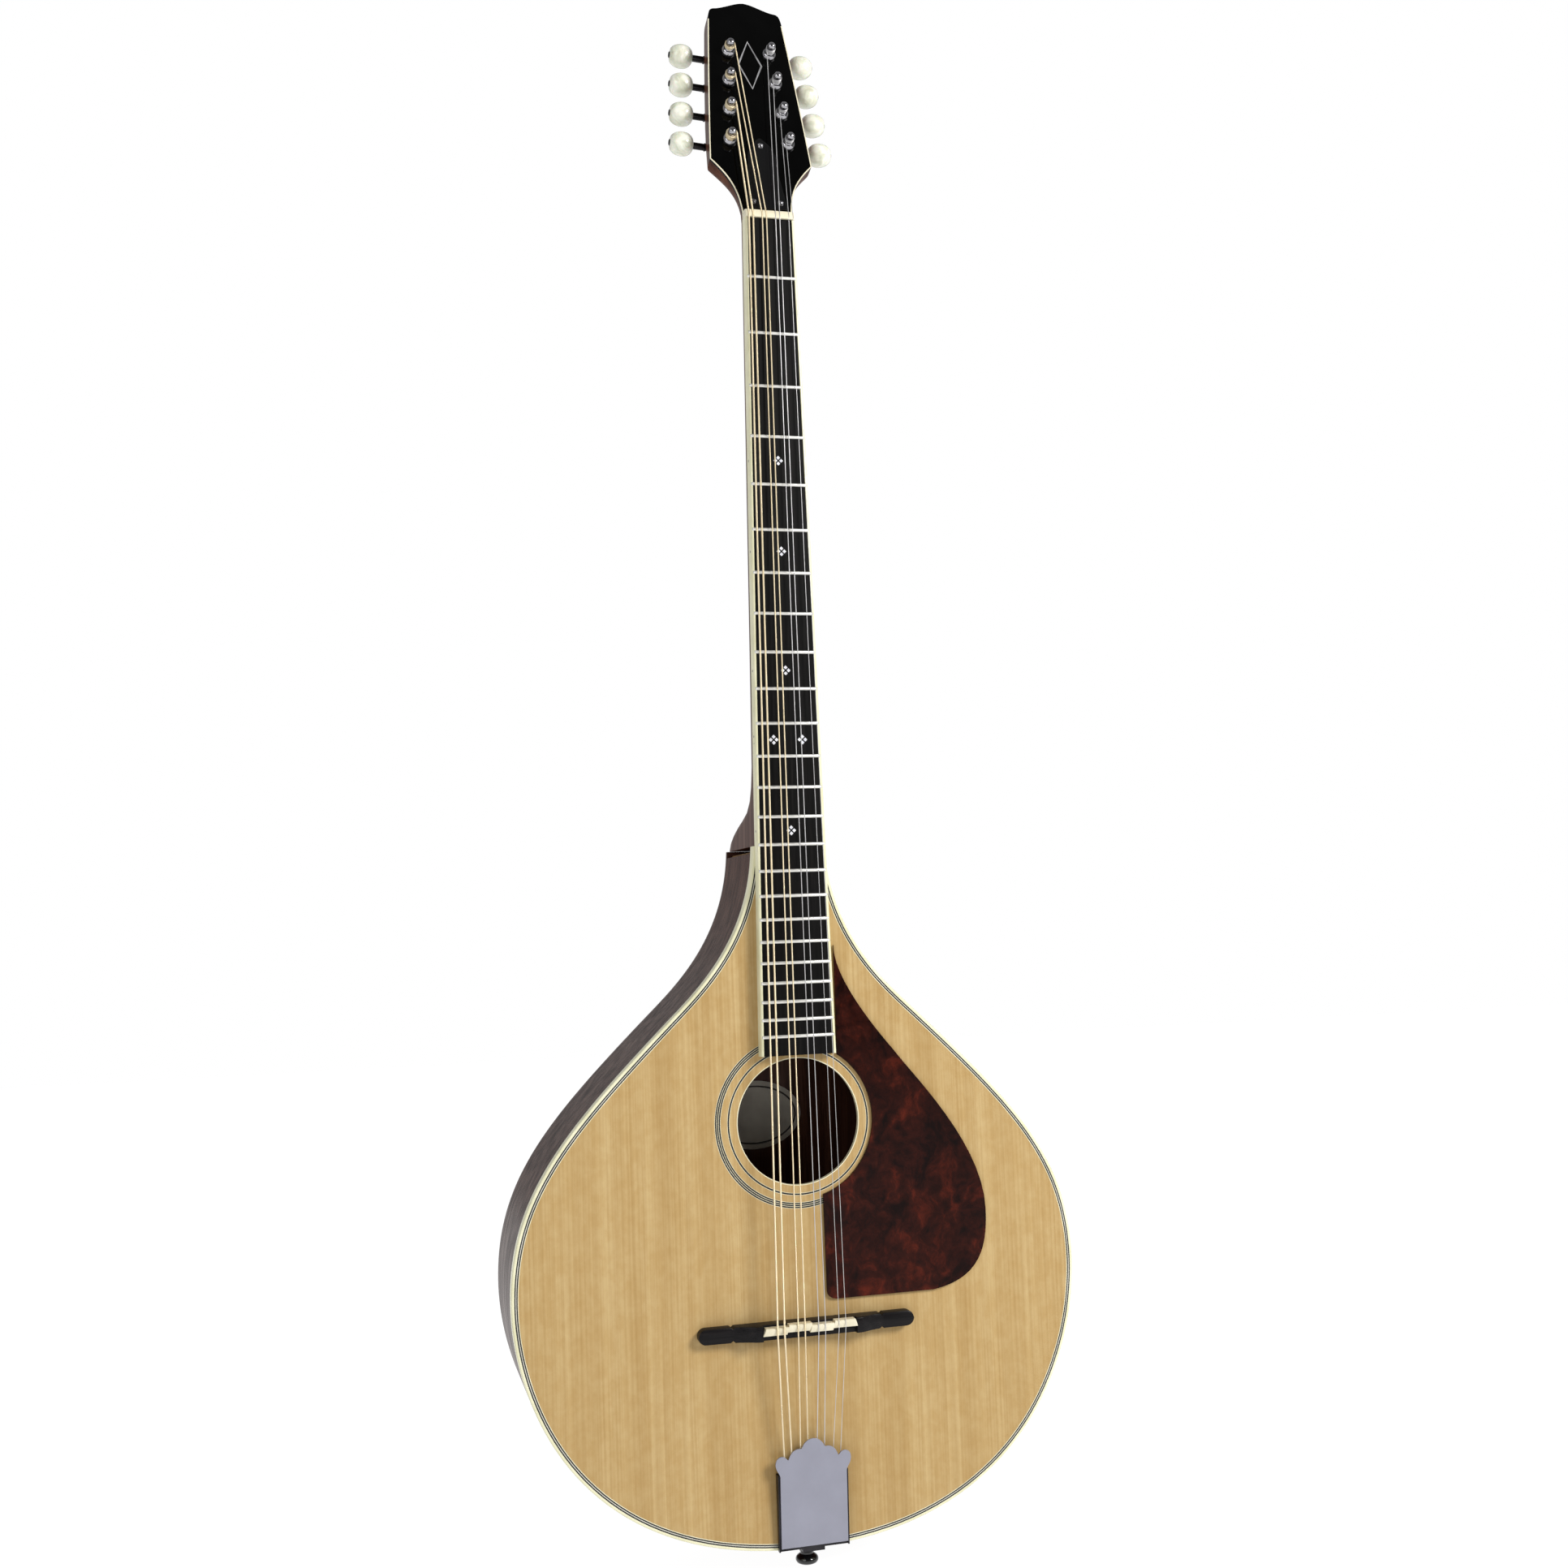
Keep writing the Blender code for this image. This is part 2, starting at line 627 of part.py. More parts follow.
def make_tailpiece():
    """Tray with a row of hooks, its slide-off cover, and the end pin."""
    low, high = BODY_END + 0.8, COVER_NECK
    bend_low = BODY_END - GAP - 0.9
    wall = TRAY_HALF - TRAY_WALL
    base = blocks("tailpiece_base", [((-TRAY_HALF, TRAY_FLOOR, low), (TRAY_HALF, TOP_FACE - GAP, high))])
    bend = blocks("base_bend", [((-6.5, 5.8, bend_low), (6.5, 44, BODY_END - GAP))], tool=True)
    lip = blocks("base_lip", [((-6.5, 5.8, bend_low), (6.5, 6.5, low + 1))], tool=True)
    hooks = blocks("base_hooks", [((-17, 3.0, -746.5), (17, 6.0, -744))], tool=True)
    combine(base, bend, 'UNION')
    combine(base, lip, 'UNION')
    combine(base, hooks, 'UNION')
    for side_name, side in SIDES:
        loop = [(wall, low + 0.1), (TRAY_HALF, low + 0.1), (TRAY_HALF, high - 0.1), (wall, high - 0.1)]
        raised = slab("tray_wall_" + side_name, [flipped(loop, side)], 0, 6, to_tray, tool=True)
        combine(base, raised, 'UNION')
    paint(base, NICKEL, 0.3, 1)

    half = [(COVER_HALF, COVER_LOW), (COVER_HALF, COVER_NECK), (20.2, -731.2), (21.4, -729.2)]
    half += [(22.1, -726.9), (21.9, -724.5), (20.9, -722.7), (19.2, -721.9), (17.4, -722.0), (15.8, -723.1)]
    half += [(14.8, -724.1), (14.0, -722.7), (12.8, -720.6), (11.3, -719.2), (9.5, -718.5), (7.7, -718.5)]
    half += [(6.6, -718.1), (5.4, -716.0), (3.8, -714.5), (2.0, -713.6), (0, COVER_TOP)]

    def slope(y, z):
        return y + cover_y(z)
    cover = slab("tailpiece_cover", [mirrored(half)], 0, COVER_DEPTH, slope)
    inner = COVER_HALF - COVER_SHEET
    for name, reach, floor in (("cover_room", inner, -800), ("ear_room", 30, COVER_NECK - 0.5)):
        room = [(reach, floor), (reach, -700), (-reach, -700), (-reach, floor)]
        combine(cover, slab(name, [room], COVER_SHEET, 12, slope, tool=True))
    paint(cover, NICKEL, 0.25, 1)

    hole = rods("pin_hole", [((0, PIN_Y, -800), (0, PIN_Y, -740))], PIN_HOLE_RADIUS, 16, tool=True)
    for name in ("side_bass", "side_treble", "tail_block", "tailpiece_base"):
        combine(bpy.data.objects[name], hole)
    profile = [(0, 21), (2.9, 21), (PIN_SHANK_RADIUS, 0), (4.7, 0), (5.1, -0.9), (5.0, -2.9), (3.9, -4.7)]
    profile += [(4.0, -5.7), (5.7, -6.9), (6.6, -8.6), (6.4, -9.8), (5.2, -10.8), (3.0, -11.2), (0, -11.3)]
    pin = turned("end_pin", profile, 16, location=(0, PIN_Y, BODY_END - 1.5 - GAP))
    paint(pin, GLOSS_BLACK, 0.2)


# ---------------------------------------------------------------- tuners

def post_place(side, row):
    """x and z of a post in the headstock's frame; row 0 is the lowest."""
    x = LOWEST_POST[0] - row * POST_SPACING * math.sin(math.radians(SLANT))
    z = LOWEST_POST[1] + row * POST_SPACING * math.cos(math.radians(SLANT))
    return side * x, z


def tuner_of(number):
    """Side and row of the tuner that holds a string."""
    if number <= 4:
        return 1, number - 1
    return -1, 8 - number


def make_tuners(head):
    """Two plates, each with four worm shafts and four geared posts."""
    frames = {}
    for side_name, side in SIDES:
        x, z = post_place(side, 0)
        frame = add_empty("tuner_frame_" + side_name, head, (x, 0, z), (0, -side * SLANT, 0))
        frames[side] = frame
        length = 3 * POST_SPACING + WORM_OFFSET + 7
        loop = [(-9, -9), (9, -9), (9, length), (-9, length)]
        plate = slab("tuner_plate_" + side_name, [loop], PLATE_FRONT, PLATE_BACK, parent=frame)
        lugs, bores, holes = [], [], []
        for row in range(4):
            post_z = row * POST_SPACING
            worm_z = post_z + WORM_OFFSET
            for start in (-8.6, 7.0):
                lugs.append(((start, PLATE_BACK - 0.6, worm_z - 3.5), (start + 1.6, 22.6, worm_z + 3.5)))
            bores.append(((-20, WORM_DEPTH, worm_z), (20, WORM_DEPTH, worm_z)))
            holes.append(((0, 10, post_z), (0, 20, post_z)))
        lug_tool = blocks("lugs_" + side_name, lugs, frame, True)
        combine(plate, lug_tool, 'UNION')
        combine(plate, rods("bores_" + side_name, bores, SHAFT_BORE_RADIUS, 8, frame, True))
        combine(plate, rods("plate_holes_" + side_name, holes, POST_HOLE_RADIUS, 12, frame, True))
        paint(plate, NICKEL, 0.3, 1)

    gear_front = PLATE_BACK + 1.9
    post = [(0, POST_HEIGHT), (2.5, POST_HEIGHT), (POST_RADIUS, POST_HEIGHT - 0.6), (POST_RADIUS, -gear_front)]
    post += [(GEAR_RADIUS, -gear_front), (GEAR_RADIUS, -gear_front - 3), (2.5, -gear_front - 3)]
    post += [(2.5, -gear_front - 4.5), (0, -gear_front - 4.5)]
    button = [(3.0, 15.5), (4.6, 14.6), (6.6, 12.5), (7.6, 9.5), (7.7, 6.5), (7.0, 3.0), (5.2, 0.8), (3.2, 0)]
    knob = [(0, BUTTON_START + 15.5)] + [(radius, BUTTON_START + z) for radius, z in button]
    knob += [(SHAFT_RADIUS, BUTTON_START), (SHAFT_RADIUS, 6), (2.9, 6), (2.9, -6)]
    knob += [(SHAFT_RADIUS, -6), (SHAFT_RADIUS, -10), (0, -10)]
    for number in range(1, 9):
        side, row = tuner_of(number)
        z = row * POST_SPACING
        piece = turned(f"tuner_post_{number}", post, 12, frames[side], (0, 0, z), (90, 0, 0))
        paint(piece, STEEL, 0.3, 1)
        place = (0, WORM_DEPTH, z + WORM_OFFSET)
        piece = turned(f"tuner_knob_{number}", knob, 12, frames[side], place, (0, side * 90, 0))
        paint(piece, PEARL, 0.25)


# ---------------------------------------------------------------- strings

def make_strings(head):
    """Each string from its hook over saddle and nut to the inner side of its post."""
    tilt = head.matrix_basis
    for number, diameter in enumerate(STRING_DIAMETERS, 1):
        radius = diameter / 2
        course = 1.5 - (number - 1) // 2
        pair = 1 if number % 2 else -1
        side, row = tuner_of(number)
        post_x, post_z = post_place(side, row)
        end_x = post_x - side * (POST_RADIUS + GAP + radius)
        end = tilt @ (Vector((end_x, -STRING_HEIGHT_ON_POST, post_z)) * MM) / MM
        points = [
            (4.5 * (4.5 - number), HOOK_Y, HOOK_Z),
            (12.05 * course + 2.0 * pair, SADDLE_STRING_BOTTOM - radius, SADDLE_Z),
            (0.5 + 8.25 * course + 1.3 * pair, NUT_STRING_BOTTOM - radius, 1.5),
            end,
        ]
        plain = number <= 4
        piece = wire(f"string_{number}", points, diameter)
        paint(piece, STEEL if plain else BRONZE, 0.3, 1)


def shade_round_pieces():
    for piece in parts.objects:
        if piece.type == 'MESH':
            piece.data.shade_smooth()
            piece.data.set_sharp_from_angle(angle=math.radians(35))


headstock = add_empty("headstock_frame", None, (0, HEAD_FACE_Y, 0), (-HEAD_TILT, 0, 0))
make_plates()
make_ribs()
make_blocks()
make_braces()
make_pickguard()
make_fretboard()
make_neck(headstock)
make_truss_rod()
make_nut()
make_bridge()
make_tailpiece()
make_tuners(headstock)
make_strings(headstock)
shade_round_pieces()
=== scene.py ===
"""Looks of the flat-top bouzouki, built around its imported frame.

Sizes are in millimetres in the frame's axes: +Z up the neck, -Y the front, +X the treble side.
They become metres where a mesh is made.
"""

import math

import bmesh
import bpy
from mathutils import Matrix, Vector


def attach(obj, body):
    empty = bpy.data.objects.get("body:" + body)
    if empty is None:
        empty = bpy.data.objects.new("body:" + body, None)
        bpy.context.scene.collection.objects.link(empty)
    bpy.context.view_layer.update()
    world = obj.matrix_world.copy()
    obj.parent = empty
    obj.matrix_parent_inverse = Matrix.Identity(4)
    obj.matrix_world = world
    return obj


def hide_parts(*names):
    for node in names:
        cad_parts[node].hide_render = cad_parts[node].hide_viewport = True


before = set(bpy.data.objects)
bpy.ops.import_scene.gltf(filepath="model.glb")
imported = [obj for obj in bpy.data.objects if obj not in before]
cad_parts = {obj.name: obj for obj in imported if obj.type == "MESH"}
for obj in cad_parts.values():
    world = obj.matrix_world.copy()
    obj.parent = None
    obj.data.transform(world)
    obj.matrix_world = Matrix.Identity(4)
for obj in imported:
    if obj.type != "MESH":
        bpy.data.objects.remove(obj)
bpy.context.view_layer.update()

MM = 0.001

# Body
TOP = 7.0
TOP_THICKNESS = 3.0
NECK_JOINT = -377.0
BODY_END = -776.0
BACK_AT_NECK = 78.0
BACK_AT_END = 91.0
BACK_THICKNESS = 3.0
HOLE_Z = -536.8
HOLE_RADIUS = 36.2
BODY_CURVES = (
    ((21.7, -377.0), (23.9, -431.2), (56.9, -459.4), (74.8, -476.7)),
    ((74.8, -476.7), (136.6, -536.2), (167.0, -569.1), (167.0, -627.4)),
    ((167.0, -627.4), (167.0, -680.8), (133.2, -776.0), (0.0, -776.0)),
)
BODY_STEPS = 40

# Neck and headstock
SCALE_LENGTH = 650.0
BOARD_END = -498.4
BOARD_HALF_AT_NUT = 13.7
BOARD_HALF_AT_END = 20.85
STRIP_WIDTH = 1.6
HEAD_TILT = 15.0
HEAD_FACE_Y = 4.0
HEAD_BACK = 14.0
OVERLAY_START = 5.6
HEAD_CURVES = (
    ((15.3, 0.9), (15.3, 25.0), (24.0, 34.0), (32.0, 43.5)),
    ((32.0, 43.5), (31.0, 61.0), (27.8, 108.0), (24.0, 152.0)),
    ((24.0, 152.0), (23.2, 158.5), (22.6, 160.0), (20.0, 160.7)),
    ((20.0, 160.7), (13.0, 161.5), (6.5, 166.6), (0.0, 167.0)),
)
COVER_CURVES = (
    ((12.5, 7.5), (12.5, 15.0), (9.0, 30.0), (9.0, 45.0)),
    ((9.0, 45.0), (9.0, 52.0), (4.0, 57.0), (0.0, 60.0)),
)
GUARD_CURVES = (
    ((24.6, -436.0), (23.0, -457.5), (57.5, -496.7), (60.0, -500.0)),
    ((60.0, -500.0), (71.0, -515.0), (112.4, -557.0), (112.4, -595.0)),
    ((112.4, -595.0), (112.4, -617.0), (107.5, -634.5), (78.0, -638.7)),
)
SLANT = 4.3
POST_SPACING = 23.0
LOWEST_POST = (18.3, 58.8)
WORM_OFFSET = 8.0
WORM_DEPTH = 18.9
WAIST = 2.5                     # radius of a post where its string winds on
POST_BORE = 3.5

# Strings
DIAMETERS = (0.36, 0.36, 0.5, 0.5, 0.8, 0.8, 1.1, 1.1)
NUT_BOTTOM = -1.05
SADDLE_BOTTOM = -6.5
SADDLE_Z = -650.8
HOOK_Z = -742.0
HOOK_Y = 4.2
HOOK_SPACING = 4.5
WINDING_HEIGHT = 6.3

# Tailpiece
COVER_TOP = -713.3
COVER_TOP_Y = -0.7
COVER_SLOPE = 3.0 / 57.0
PIN_Y = 22.0

# Camera: metres, degrees and millimetres of lens
CAMERA_PLACE = (-0.25509, -0.94657, -0.42260)
CAMERA_ANGLES = (94.743, 2.001, -14.723)
CAMERA_LENS = 38.63

# Light that comes from the room in front of the instrument and from behind it
FRONT_LIGHT = 0.1
REAR_LIGHT = 0.6


# ---------------------------------------------------------------- materials

def rgb(red, green, blue):
    """Linear colour of an 8-bit one."""
    def linear(value):
        value /= 255
        return value / 12.92 if value <= 0.04045 else ((value + 0.055) / 1.055) ** 2.4
    return linear(red), linear(green), linear(blue), 1.0


class Look:
    """A procedural material while it is put together."""

    def __init__(self, name, **settings):
        self.material = bpy.data.materials.new(name)
        self.material.use_nodes = True
        self.nodes = self.material.node_tree.nodes
        self.links = self.material.node_tree.links
        self.shader = self.nodes["Principled BSDF"]
        for socket, value in settings.items():
            self.shader.inputs[socket.replace("_", " ").title().replace("Ior", "IOR")].default_value = value

    def add(self, kind, **inputs):
        node = self.nodes.new("ShaderNode" + kind)
        for name, value in inputs.items():
            socket = node.inputs[int(name[1:]) if name[0] == "i" and name[1:].isdigit() else name]
            if isinstance(value, bpy.types.NodeSocket):
                self.links.new(value, socket)
            else:
                socket.default_value = value
        return node

    def place(self, scale, warp=0.0, warp_scale=8.0, fold=False):
        """Object coordinates times scale, wavering by warp, mirrored about x = 0 if folded."""
        vector = self.add("TexCoord").outputs["Object"]
        if fold:
            split = self.add("SeparateXYZ", Vector=vector)
            away = self.math('ABSOLUTE', split.outputs["X"], 0)
            vector = self.add("CombineXYZ", X=away, Y=split.outputs["Y"], Z=split.outputs["Z"]).outputs[0]
        if warp:
            waver = self.add("TexNoise", Vector=vector, Scale=warp_scale, Detail=2.0).outputs["Color"]
            shift = self.add("VectorMath", i0=waver, i1=(0.5, 0.5, 0.5))
            shift.operation = 'SUBTRACT'
            sized = self.add("VectorMath", i0=shift.outputs[0])
            sized.operation = 'SCALE'
            sized.inputs["Scale"].default_value = warp
            total = self.add("VectorMath", i0=vector, i1=sized.outputs[0])
            vector = total.outputs[0]
        return self.add("Mapping", Vector=vector, Scale=scale).outputs[0]

    def math(self, operation, first, second):
        node = self.add("Math", i0=first, i1=second)
        node.operation = operation
        return node.outputs[0]

    def noise(self, vector, scale=1.0, detail=3.0, roughness=0.5):
        node = self.add("TexNoise", Vector=vector, Scale=scale, Detail=detail, Roughness=roughness)
        return node.outputs["Fac"]

    def ramp(self, fac, *stops):
        """Colours or grey values at positions: stops are (position, colour or number)."""
        node = self.add("ValToRGB", Fac=fac)
        elements = node.color_ramp.elements
        while len(elements) < len(stops):
            elements.new(0.5)
        for element, (position, value) in zip(elements, stops):
            element.position = position
            element.color = value if isinstance(value, tuple) else (value, value, value, 1)
        return node.outputs["Color"]

    def mix(self, fac, first, second, kind='MIX'):
        node = self.add("Mix")
        node.data_type = 'RGBA'
        node.blend_type = kind
        for socket, value in ((node.inputs[0], fac), (node.inputs[6], first), (node.inputs[7], second)):
            if isinstance(value, bpy.types.NodeSocket):
                self.links.new(value, socket)
            else:
                socket.default_value = value
        return node.outputs[2]

    def wear(self, color=None, roughness=None, height=None, strength=0.2, distance=0.0001):
        """Connects what is given and returns the material."""
        if color is not None:
            self.links.new(color, self.shader.inputs["Base Color"])
        if roughness is not None:
            self.links.new(roughness, self.shader.inputs["Roughness"])
        if height is not None:
            bump = self.add("Bump", Strength=strength, Distance=distance, Height=height)
            self.links.new(bump.outputs[0], self.shader.inputs["Normal"])
        return self.material


def spruce():
    """Pale bookmatched softwood: fine lines, broad bands and silk across them, under lacquer."""
    look = Look("spruce_lacquered", roughness=0.36, specular_ior_level=0.12)
    fine = look.noise(look.place((760, 40, 5), 0.0014, 9, True), 1.0, 4.0, 0.65)
    lines = look.ramp(fine, (0.36, 0.0), (0.64, 1.0))
    broad = look.noise(look.place((48, 20, 1.6), 0.004, 6, True), 1.0, 3.0)
    mottle = look.noise(look.place((170, 60, 120), 0.004, 30, True), 1.0, 4.0, 0.6)
    base = look.ramp(broad, (0.32, rgb(178, 150, 102)), (0.5, rgb(188, 161, 113)), (0.7, rgb(196, 171, 124)))
    grained = look.mix(look.math('MULTIPLY', lines, 0.42), base, rgb(158, 126, 76))
    fleck = look.ramp(mottle, (0.35, rgb(236, 224, 200)), (0.65, (1, 1, 1, 1)))
    color = look.mix(0.5, grained, fleck, 'MULTIPLY')
    rough = look.ramp(mottle, (0.3, 0.3), (0.7, 0.4))
    return look.wear(color, rough, fine, 0.12, 0.00006)


def hardwood(name, dark, middle, light, along, gloss, fold=False, specular=0.07):
    """Dark lacquered wood with streaks along an axis, pores and slow changes of tone."""
    look = Look(name, roughness=gloss, specular_ior_level=specular)
    stretch = [180.0, 180.0, 180.0]
    stretch[along] = 5.0
    pores = [900.0, 900.0, 900.0]
    pores[along] = 28.0
    streak = look.noise(look.place(stretch, 0.006, 7, fold), 1.0, 4.0, 0.6)
    pore = look.noise(look.place(pores, 0.001, 20, fold), 1.0, 2.0)
    slow = look.noise(look.place((9, 9, 9)), 1.0, 2.0)
    base = look.ramp(streak, (0.3, dark), (0.5, middle), (0.72, light))
    toned = look.mix(look.math('MULTIPLY', slow, 0.45), base, dark)
    pitted = look.ramp(pore, (0.36, 0.55), (0.46, 1.0))
    color = look.mix(0.8, toned, pitted, 'MULTIPLY')
    rough = look.ramp(streak, (0.3, gloss + 0.08), (0.7, gloss - 0.04))
    return look.wear(color, rough, pore, 0.15, 0.00005)


def ebony():
    look = Look("ebony_oiled", roughness=0.42, specular_ior_level=0.08)
    streak = look.noise(look.place((420, 420, 14), 0.002), 1.0, 4.0)
    pore = look.noise(look.place((1500, 1500, 60)), 1.0, 2.0)
    color = look.ramp(streak, (0.3, rgb(8, 8, 8)), (0.6, rgb(17, 16, 16)), (0.8, rgb(29, 26, 25)))
    rough = look.ramp(pore, (0.3, 0.55), (0.6, 0.36))
    return look.wear(color, rough, pore, 0.25, 0.00006)


def bridge_ebony():
    look = Look("ebony_polished", roughness=0.3, specular_ior_level=0.13)
    streak = look.noise(look.place((16, 420, 420), 0.002), 1.0, 4.0)
    pore = look.noise(look.place((60, 1500, 1500)), 1.0, 2.0)
    color = look.ramp(streak, (0.3, rgb(12, 11, 12)), (0.6, rgb(24, 22, 23)), (0.8, rgb(38, 33, 31)))
    rough = look.ramp(pore, (0.3, 0.42), (0.6, 0.26))
    return look.wear(color, rough, pore, 0.2, 0.00006)


def plastic(name, low, high, gloss, scale=60.0, stretch=(1, 1, 1), coat=0.3, grain=0.02, specular=0.5):
    """Moulded or polished material whose tone drifts slowly, with faint polishing marks."""
    look = Look(name, roughness=gloss, coat_weight=coat, coat_roughness=0.06, specular_ior_level=specular)
    drift = look.noise(look.place(stretch, 0.01, 20), scale, 3.0)
    marks = look.noise(look.place((1, 1, 1)), 1600.0, 2.0)
    color = look.ramp(drift, (0.32, low), (0.7, high))
    rough = look.ramp(marks, (0.3, max(gloss - 0.05, 0.02)), (0.7, gloss + 0.06))
    return look.wear(color, rough, marks, grain, 0.00005)


def tortoise():
    """Dark brown celluloid clouded with red."""
    look = Look("tortoise_celluloid", roughness=0.16, specular_ior_level=0.08)
    cloud = look.noise(look.place((70, 70, 50), 0.03, 50), 1.0, 7.0, 0.66)
    speck = look.noise(look.place((190, 190, 130), 0.012, 90), 1.0, 4.0, 0.6)
    slow = look.noise(look.place((16, 16, 12)), 1.0, 2.0)
    base = look.ramp(cloud, (0.38, rgb(24, 9, 8)), (0.55, rgb(52, 19, 13)), (0.72, rgb(92, 33, 20)))
    dark = look.ramp(speck, (0.4, 0.6), (0.62, 1.0))
    shade = look.ramp(slow, (0.36, 0.66), (0.6, 1.0))
    color = look.mix(0.9, look.mix(0.9, base, dark, 'MULTIPLY'), shade, 'MULTIPLY')
    rough = look.ramp(speck, (0.3, 0.12), (0.7, 0.2))
    return look.wear(color, rough, speck, 0.03, 0.00005)


def pearl():
    """Pearly plastic: swirled layers under a gloss."""
    look = Look("pearl_buttons", roughness=0.22, coat_weight=0.5, coat_roughness=0.05, subsurface_weight=0.12,
                subsurface_scale=0.004)
    swirl = look.noise(look.place((160, 160, 90), 0.03, 60), 1.0, 4.0, 0.6)
    fine = look.noise(look.place((500, 500, 300), 0.01, 120), 1.0, 3.0)
    color = look.ramp(swirl, (0.3, rgb(196, 198, 176)), (0.48, rgb(222, 224, 205)),
                      (0.64, rgb(240, 240, 228)))
    rough = look.ramp(fine, (0.3, 0.16), (0.7, 0.28))
    return look.wear(color, rough, swirl, 0.05, 0.0001)


def metal(name, low, high, gloss, stretch=(1, 1, 1), scale=900.0, grain=0.05, spread=0.08, metallic=1.0):
    """Plated or drawn metal with slight tarnish and fine marks."""
    look = Look(name, metallic=metallic, roughness=gloss)
    tarnish = look.noise(look.place((60, 60, 60), 0.01, 30), 1.0, 4.0)
    marks = look.noise(look.place(stretch), scale, 3.0, 0.6)
    color = look.ramp(tarnish, (0.3, low), (0.72, high))
    rough = look.ramp(marks, (0.25, max(gloss - spread / 2, 0.03)), (0.75, gloss + spread))
    return look.wear(color, rough, marks, grain, 0.00004)


def wound(name, low, high, pitch):
    """Wire wrapped round a core along Z."""
    look = Look(name, metallic=0.55, roughness=0.32)
    wave = look.add("TexWave", Vector=look.place((1, 1, 1)), Scale=math.pi / pitch / 10, Distortion=0.0)
    wave.bands_direction = 'Z'
    tone = look.noise(look.place((90, 90, 40)), 1.0, 2.0)
    color = look.mix(look.math('MULTIPLY', tone, 0.6), low, high)
    rough = look.ramp(tone, (0.3, 0.26), (0.7, 0.42))
    return look.wear(color, rough, wave.outputs["Fac"], 0.5, 0.00012)


SPRUCE = spruce()
RIB = hardwood("rib_mahogany", rgb(44, 25, 20), rgb(76, 48, 39), rgb(100, 67, 53), 2, 0.24, specular=0.015)
BACK = hardwood("back_mahogany", rgb(46, 26, 20), rgb(80, 50, 40), rgb(106, 70, 54), 2, 0.24, True)
NECK = hardwood("neck_mahogany", rgb(50, 26, 18), rgb(86, 50, 36), rgb(108, 68, 50), 2, 0.3)
BRACE = hardwood("brace_spruce", rgb(120, 92, 60), rgb(150, 120, 84), rgb(172, 142, 102), 0, 0.75)
EBONY = ebony()
BRIDGE_EBONY = bridge_ebony()
IVORY = plastic("ivory_binding", rgb(216, 213, 176), rgb(234, 231, 200), 0.22, coat=0.1, specular=0.25)
CREAM = plastic("cream_purfling", rgb(214, 206, 170), rgb(232, 226, 196), 0.3)
WHITE = plastic("white_purfling", rgb(196, 194, 180), rgb(216, 214, 202), 0.3)
BLACK_LINE = plastic("black_purfling", rgb(8, 8, 8), rgb(18, 17, 17), 0.35)
BONE = plastic("polished_bone", rgb(214, 206, 178), rgb(232, 225, 200), 0.28, 120.0, (1, 1, 0.3))
GLOSS = plastic("black_gloss", rgb(1, 1, 1), rgb(3, 3, 3), 0.07, coat=0.0, grain=0.01, specular=0.1)
COVER_BLACK = plastic("black_cover", rgb(8, 8, 9), rgb(14, 14, 15), 0.1, coat=0.0, specular=0.35)
PIN_BLACK = plastic("black_pin", rgb(6, 6, 7), rgb(16, 16, 17), 0.12, coat=0.3)
PEARL = pearl()
SHELL = plastic("shell_inlay", rgb(214, 216, 226), rgb(246, 246, 250), 0.14, 300.0, coat=0.6)
SILVER_INLAY = plastic("grey_inlay", rgb(120, 120, 122), rgb(160, 160, 162), 0.25, 200.0)
PAPER = plastic("label_paper", rgb(176, 169, 158), rgb(192, 186, 174), 0.8, 90.0, coat=0.0, grain=0.2)
INK = plastic("label_ink", rgb(44, 38, 34), rgb(66, 58, 50), 0.7, 90.0, coat=0.0)
TORTOISE = tortoise()
CHROME = metal("polished_chrome", rgb(150, 149, 153), rgb(180, 179, 183), 0.05, spread=0.03)
NICKEL = metal("nickel_plate", rgb(150, 149, 152), rgb(196, 195, 198), 0.2)
TRAY = metal("dull_nickel", rgb(40, 39, 42), rgb(64, 63, 66), 0.32)
SATIN = metal("satin_cover", rgb(143, 144, 157), rgb(150, 151, 165), 0.42, (1, 1, 0.08), 1500.0, 0.03, 0.04,
              0.45)
DARK_STEEL = metal("dark_shaft", rgb(30, 29, 31), rgb(62, 60, 62), 0.24)
STEEL = metal("bright_steel", rgb(168, 167, 170), rgb(205, 204, 208), 0.2)
FRET = metal("fret_wire", rgb(222, 221, 216), rgb(244, 243, 238), 0.2, (40, 40, 1), metallic=0.5)
PLAIN_WIRE = metal("plain_wire", rgb(182, 181, 182), rgb(212, 211, 212), 0.33, metallic=0.5)
BRONZE_WIRE = wound("bronze_wire", rgb(226, 207, 168), rgb(250, 238, 210), 0.00028)
BRASS = metal("brass_nut", rgb(176, 142, 80), rgb(205, 172, 104), 0.3)


# ---------------------------------------------------------------- making pieces

def settle(piece, material, body, slot, *nodes):
    """Give a piece its material, body and the CAD nodes that it stands for; the slot is not used."""
    for one in material if isinstance(material, (list, tuple)) else [material]:
        piece.data.materials.append(one)
    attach(piece, body)
    if nodes:
        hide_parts(*nodes)
    return piece


def piece_from(name, bm, matrix=None, sharp=35):
    """New object from a bmesh in millimetres, moved by a matrix in millimetres."""
    bmesh.ops.remove_doubles(bm, verts=bm.verts, dist=0.0005)
    bmesh.ops.recalc_face_normals(bm, faces=bm.faces)
    if matrix:
        bm.transform(matrix)
    bm.transform(Matrix.Scale(MM, 4))
    mesh = bpy.data.meshes.new(name)
    bm.to_mesh(mesh)
    bm.free()
    mesh.shade_smooth()
    mesh.set_sharp_from_angle(angle=math.radians(sharp))
    piece = bpy.data.objects.new(name, mesh)
    bpy.context.scene.collection.objects.link(piece)
    return piece


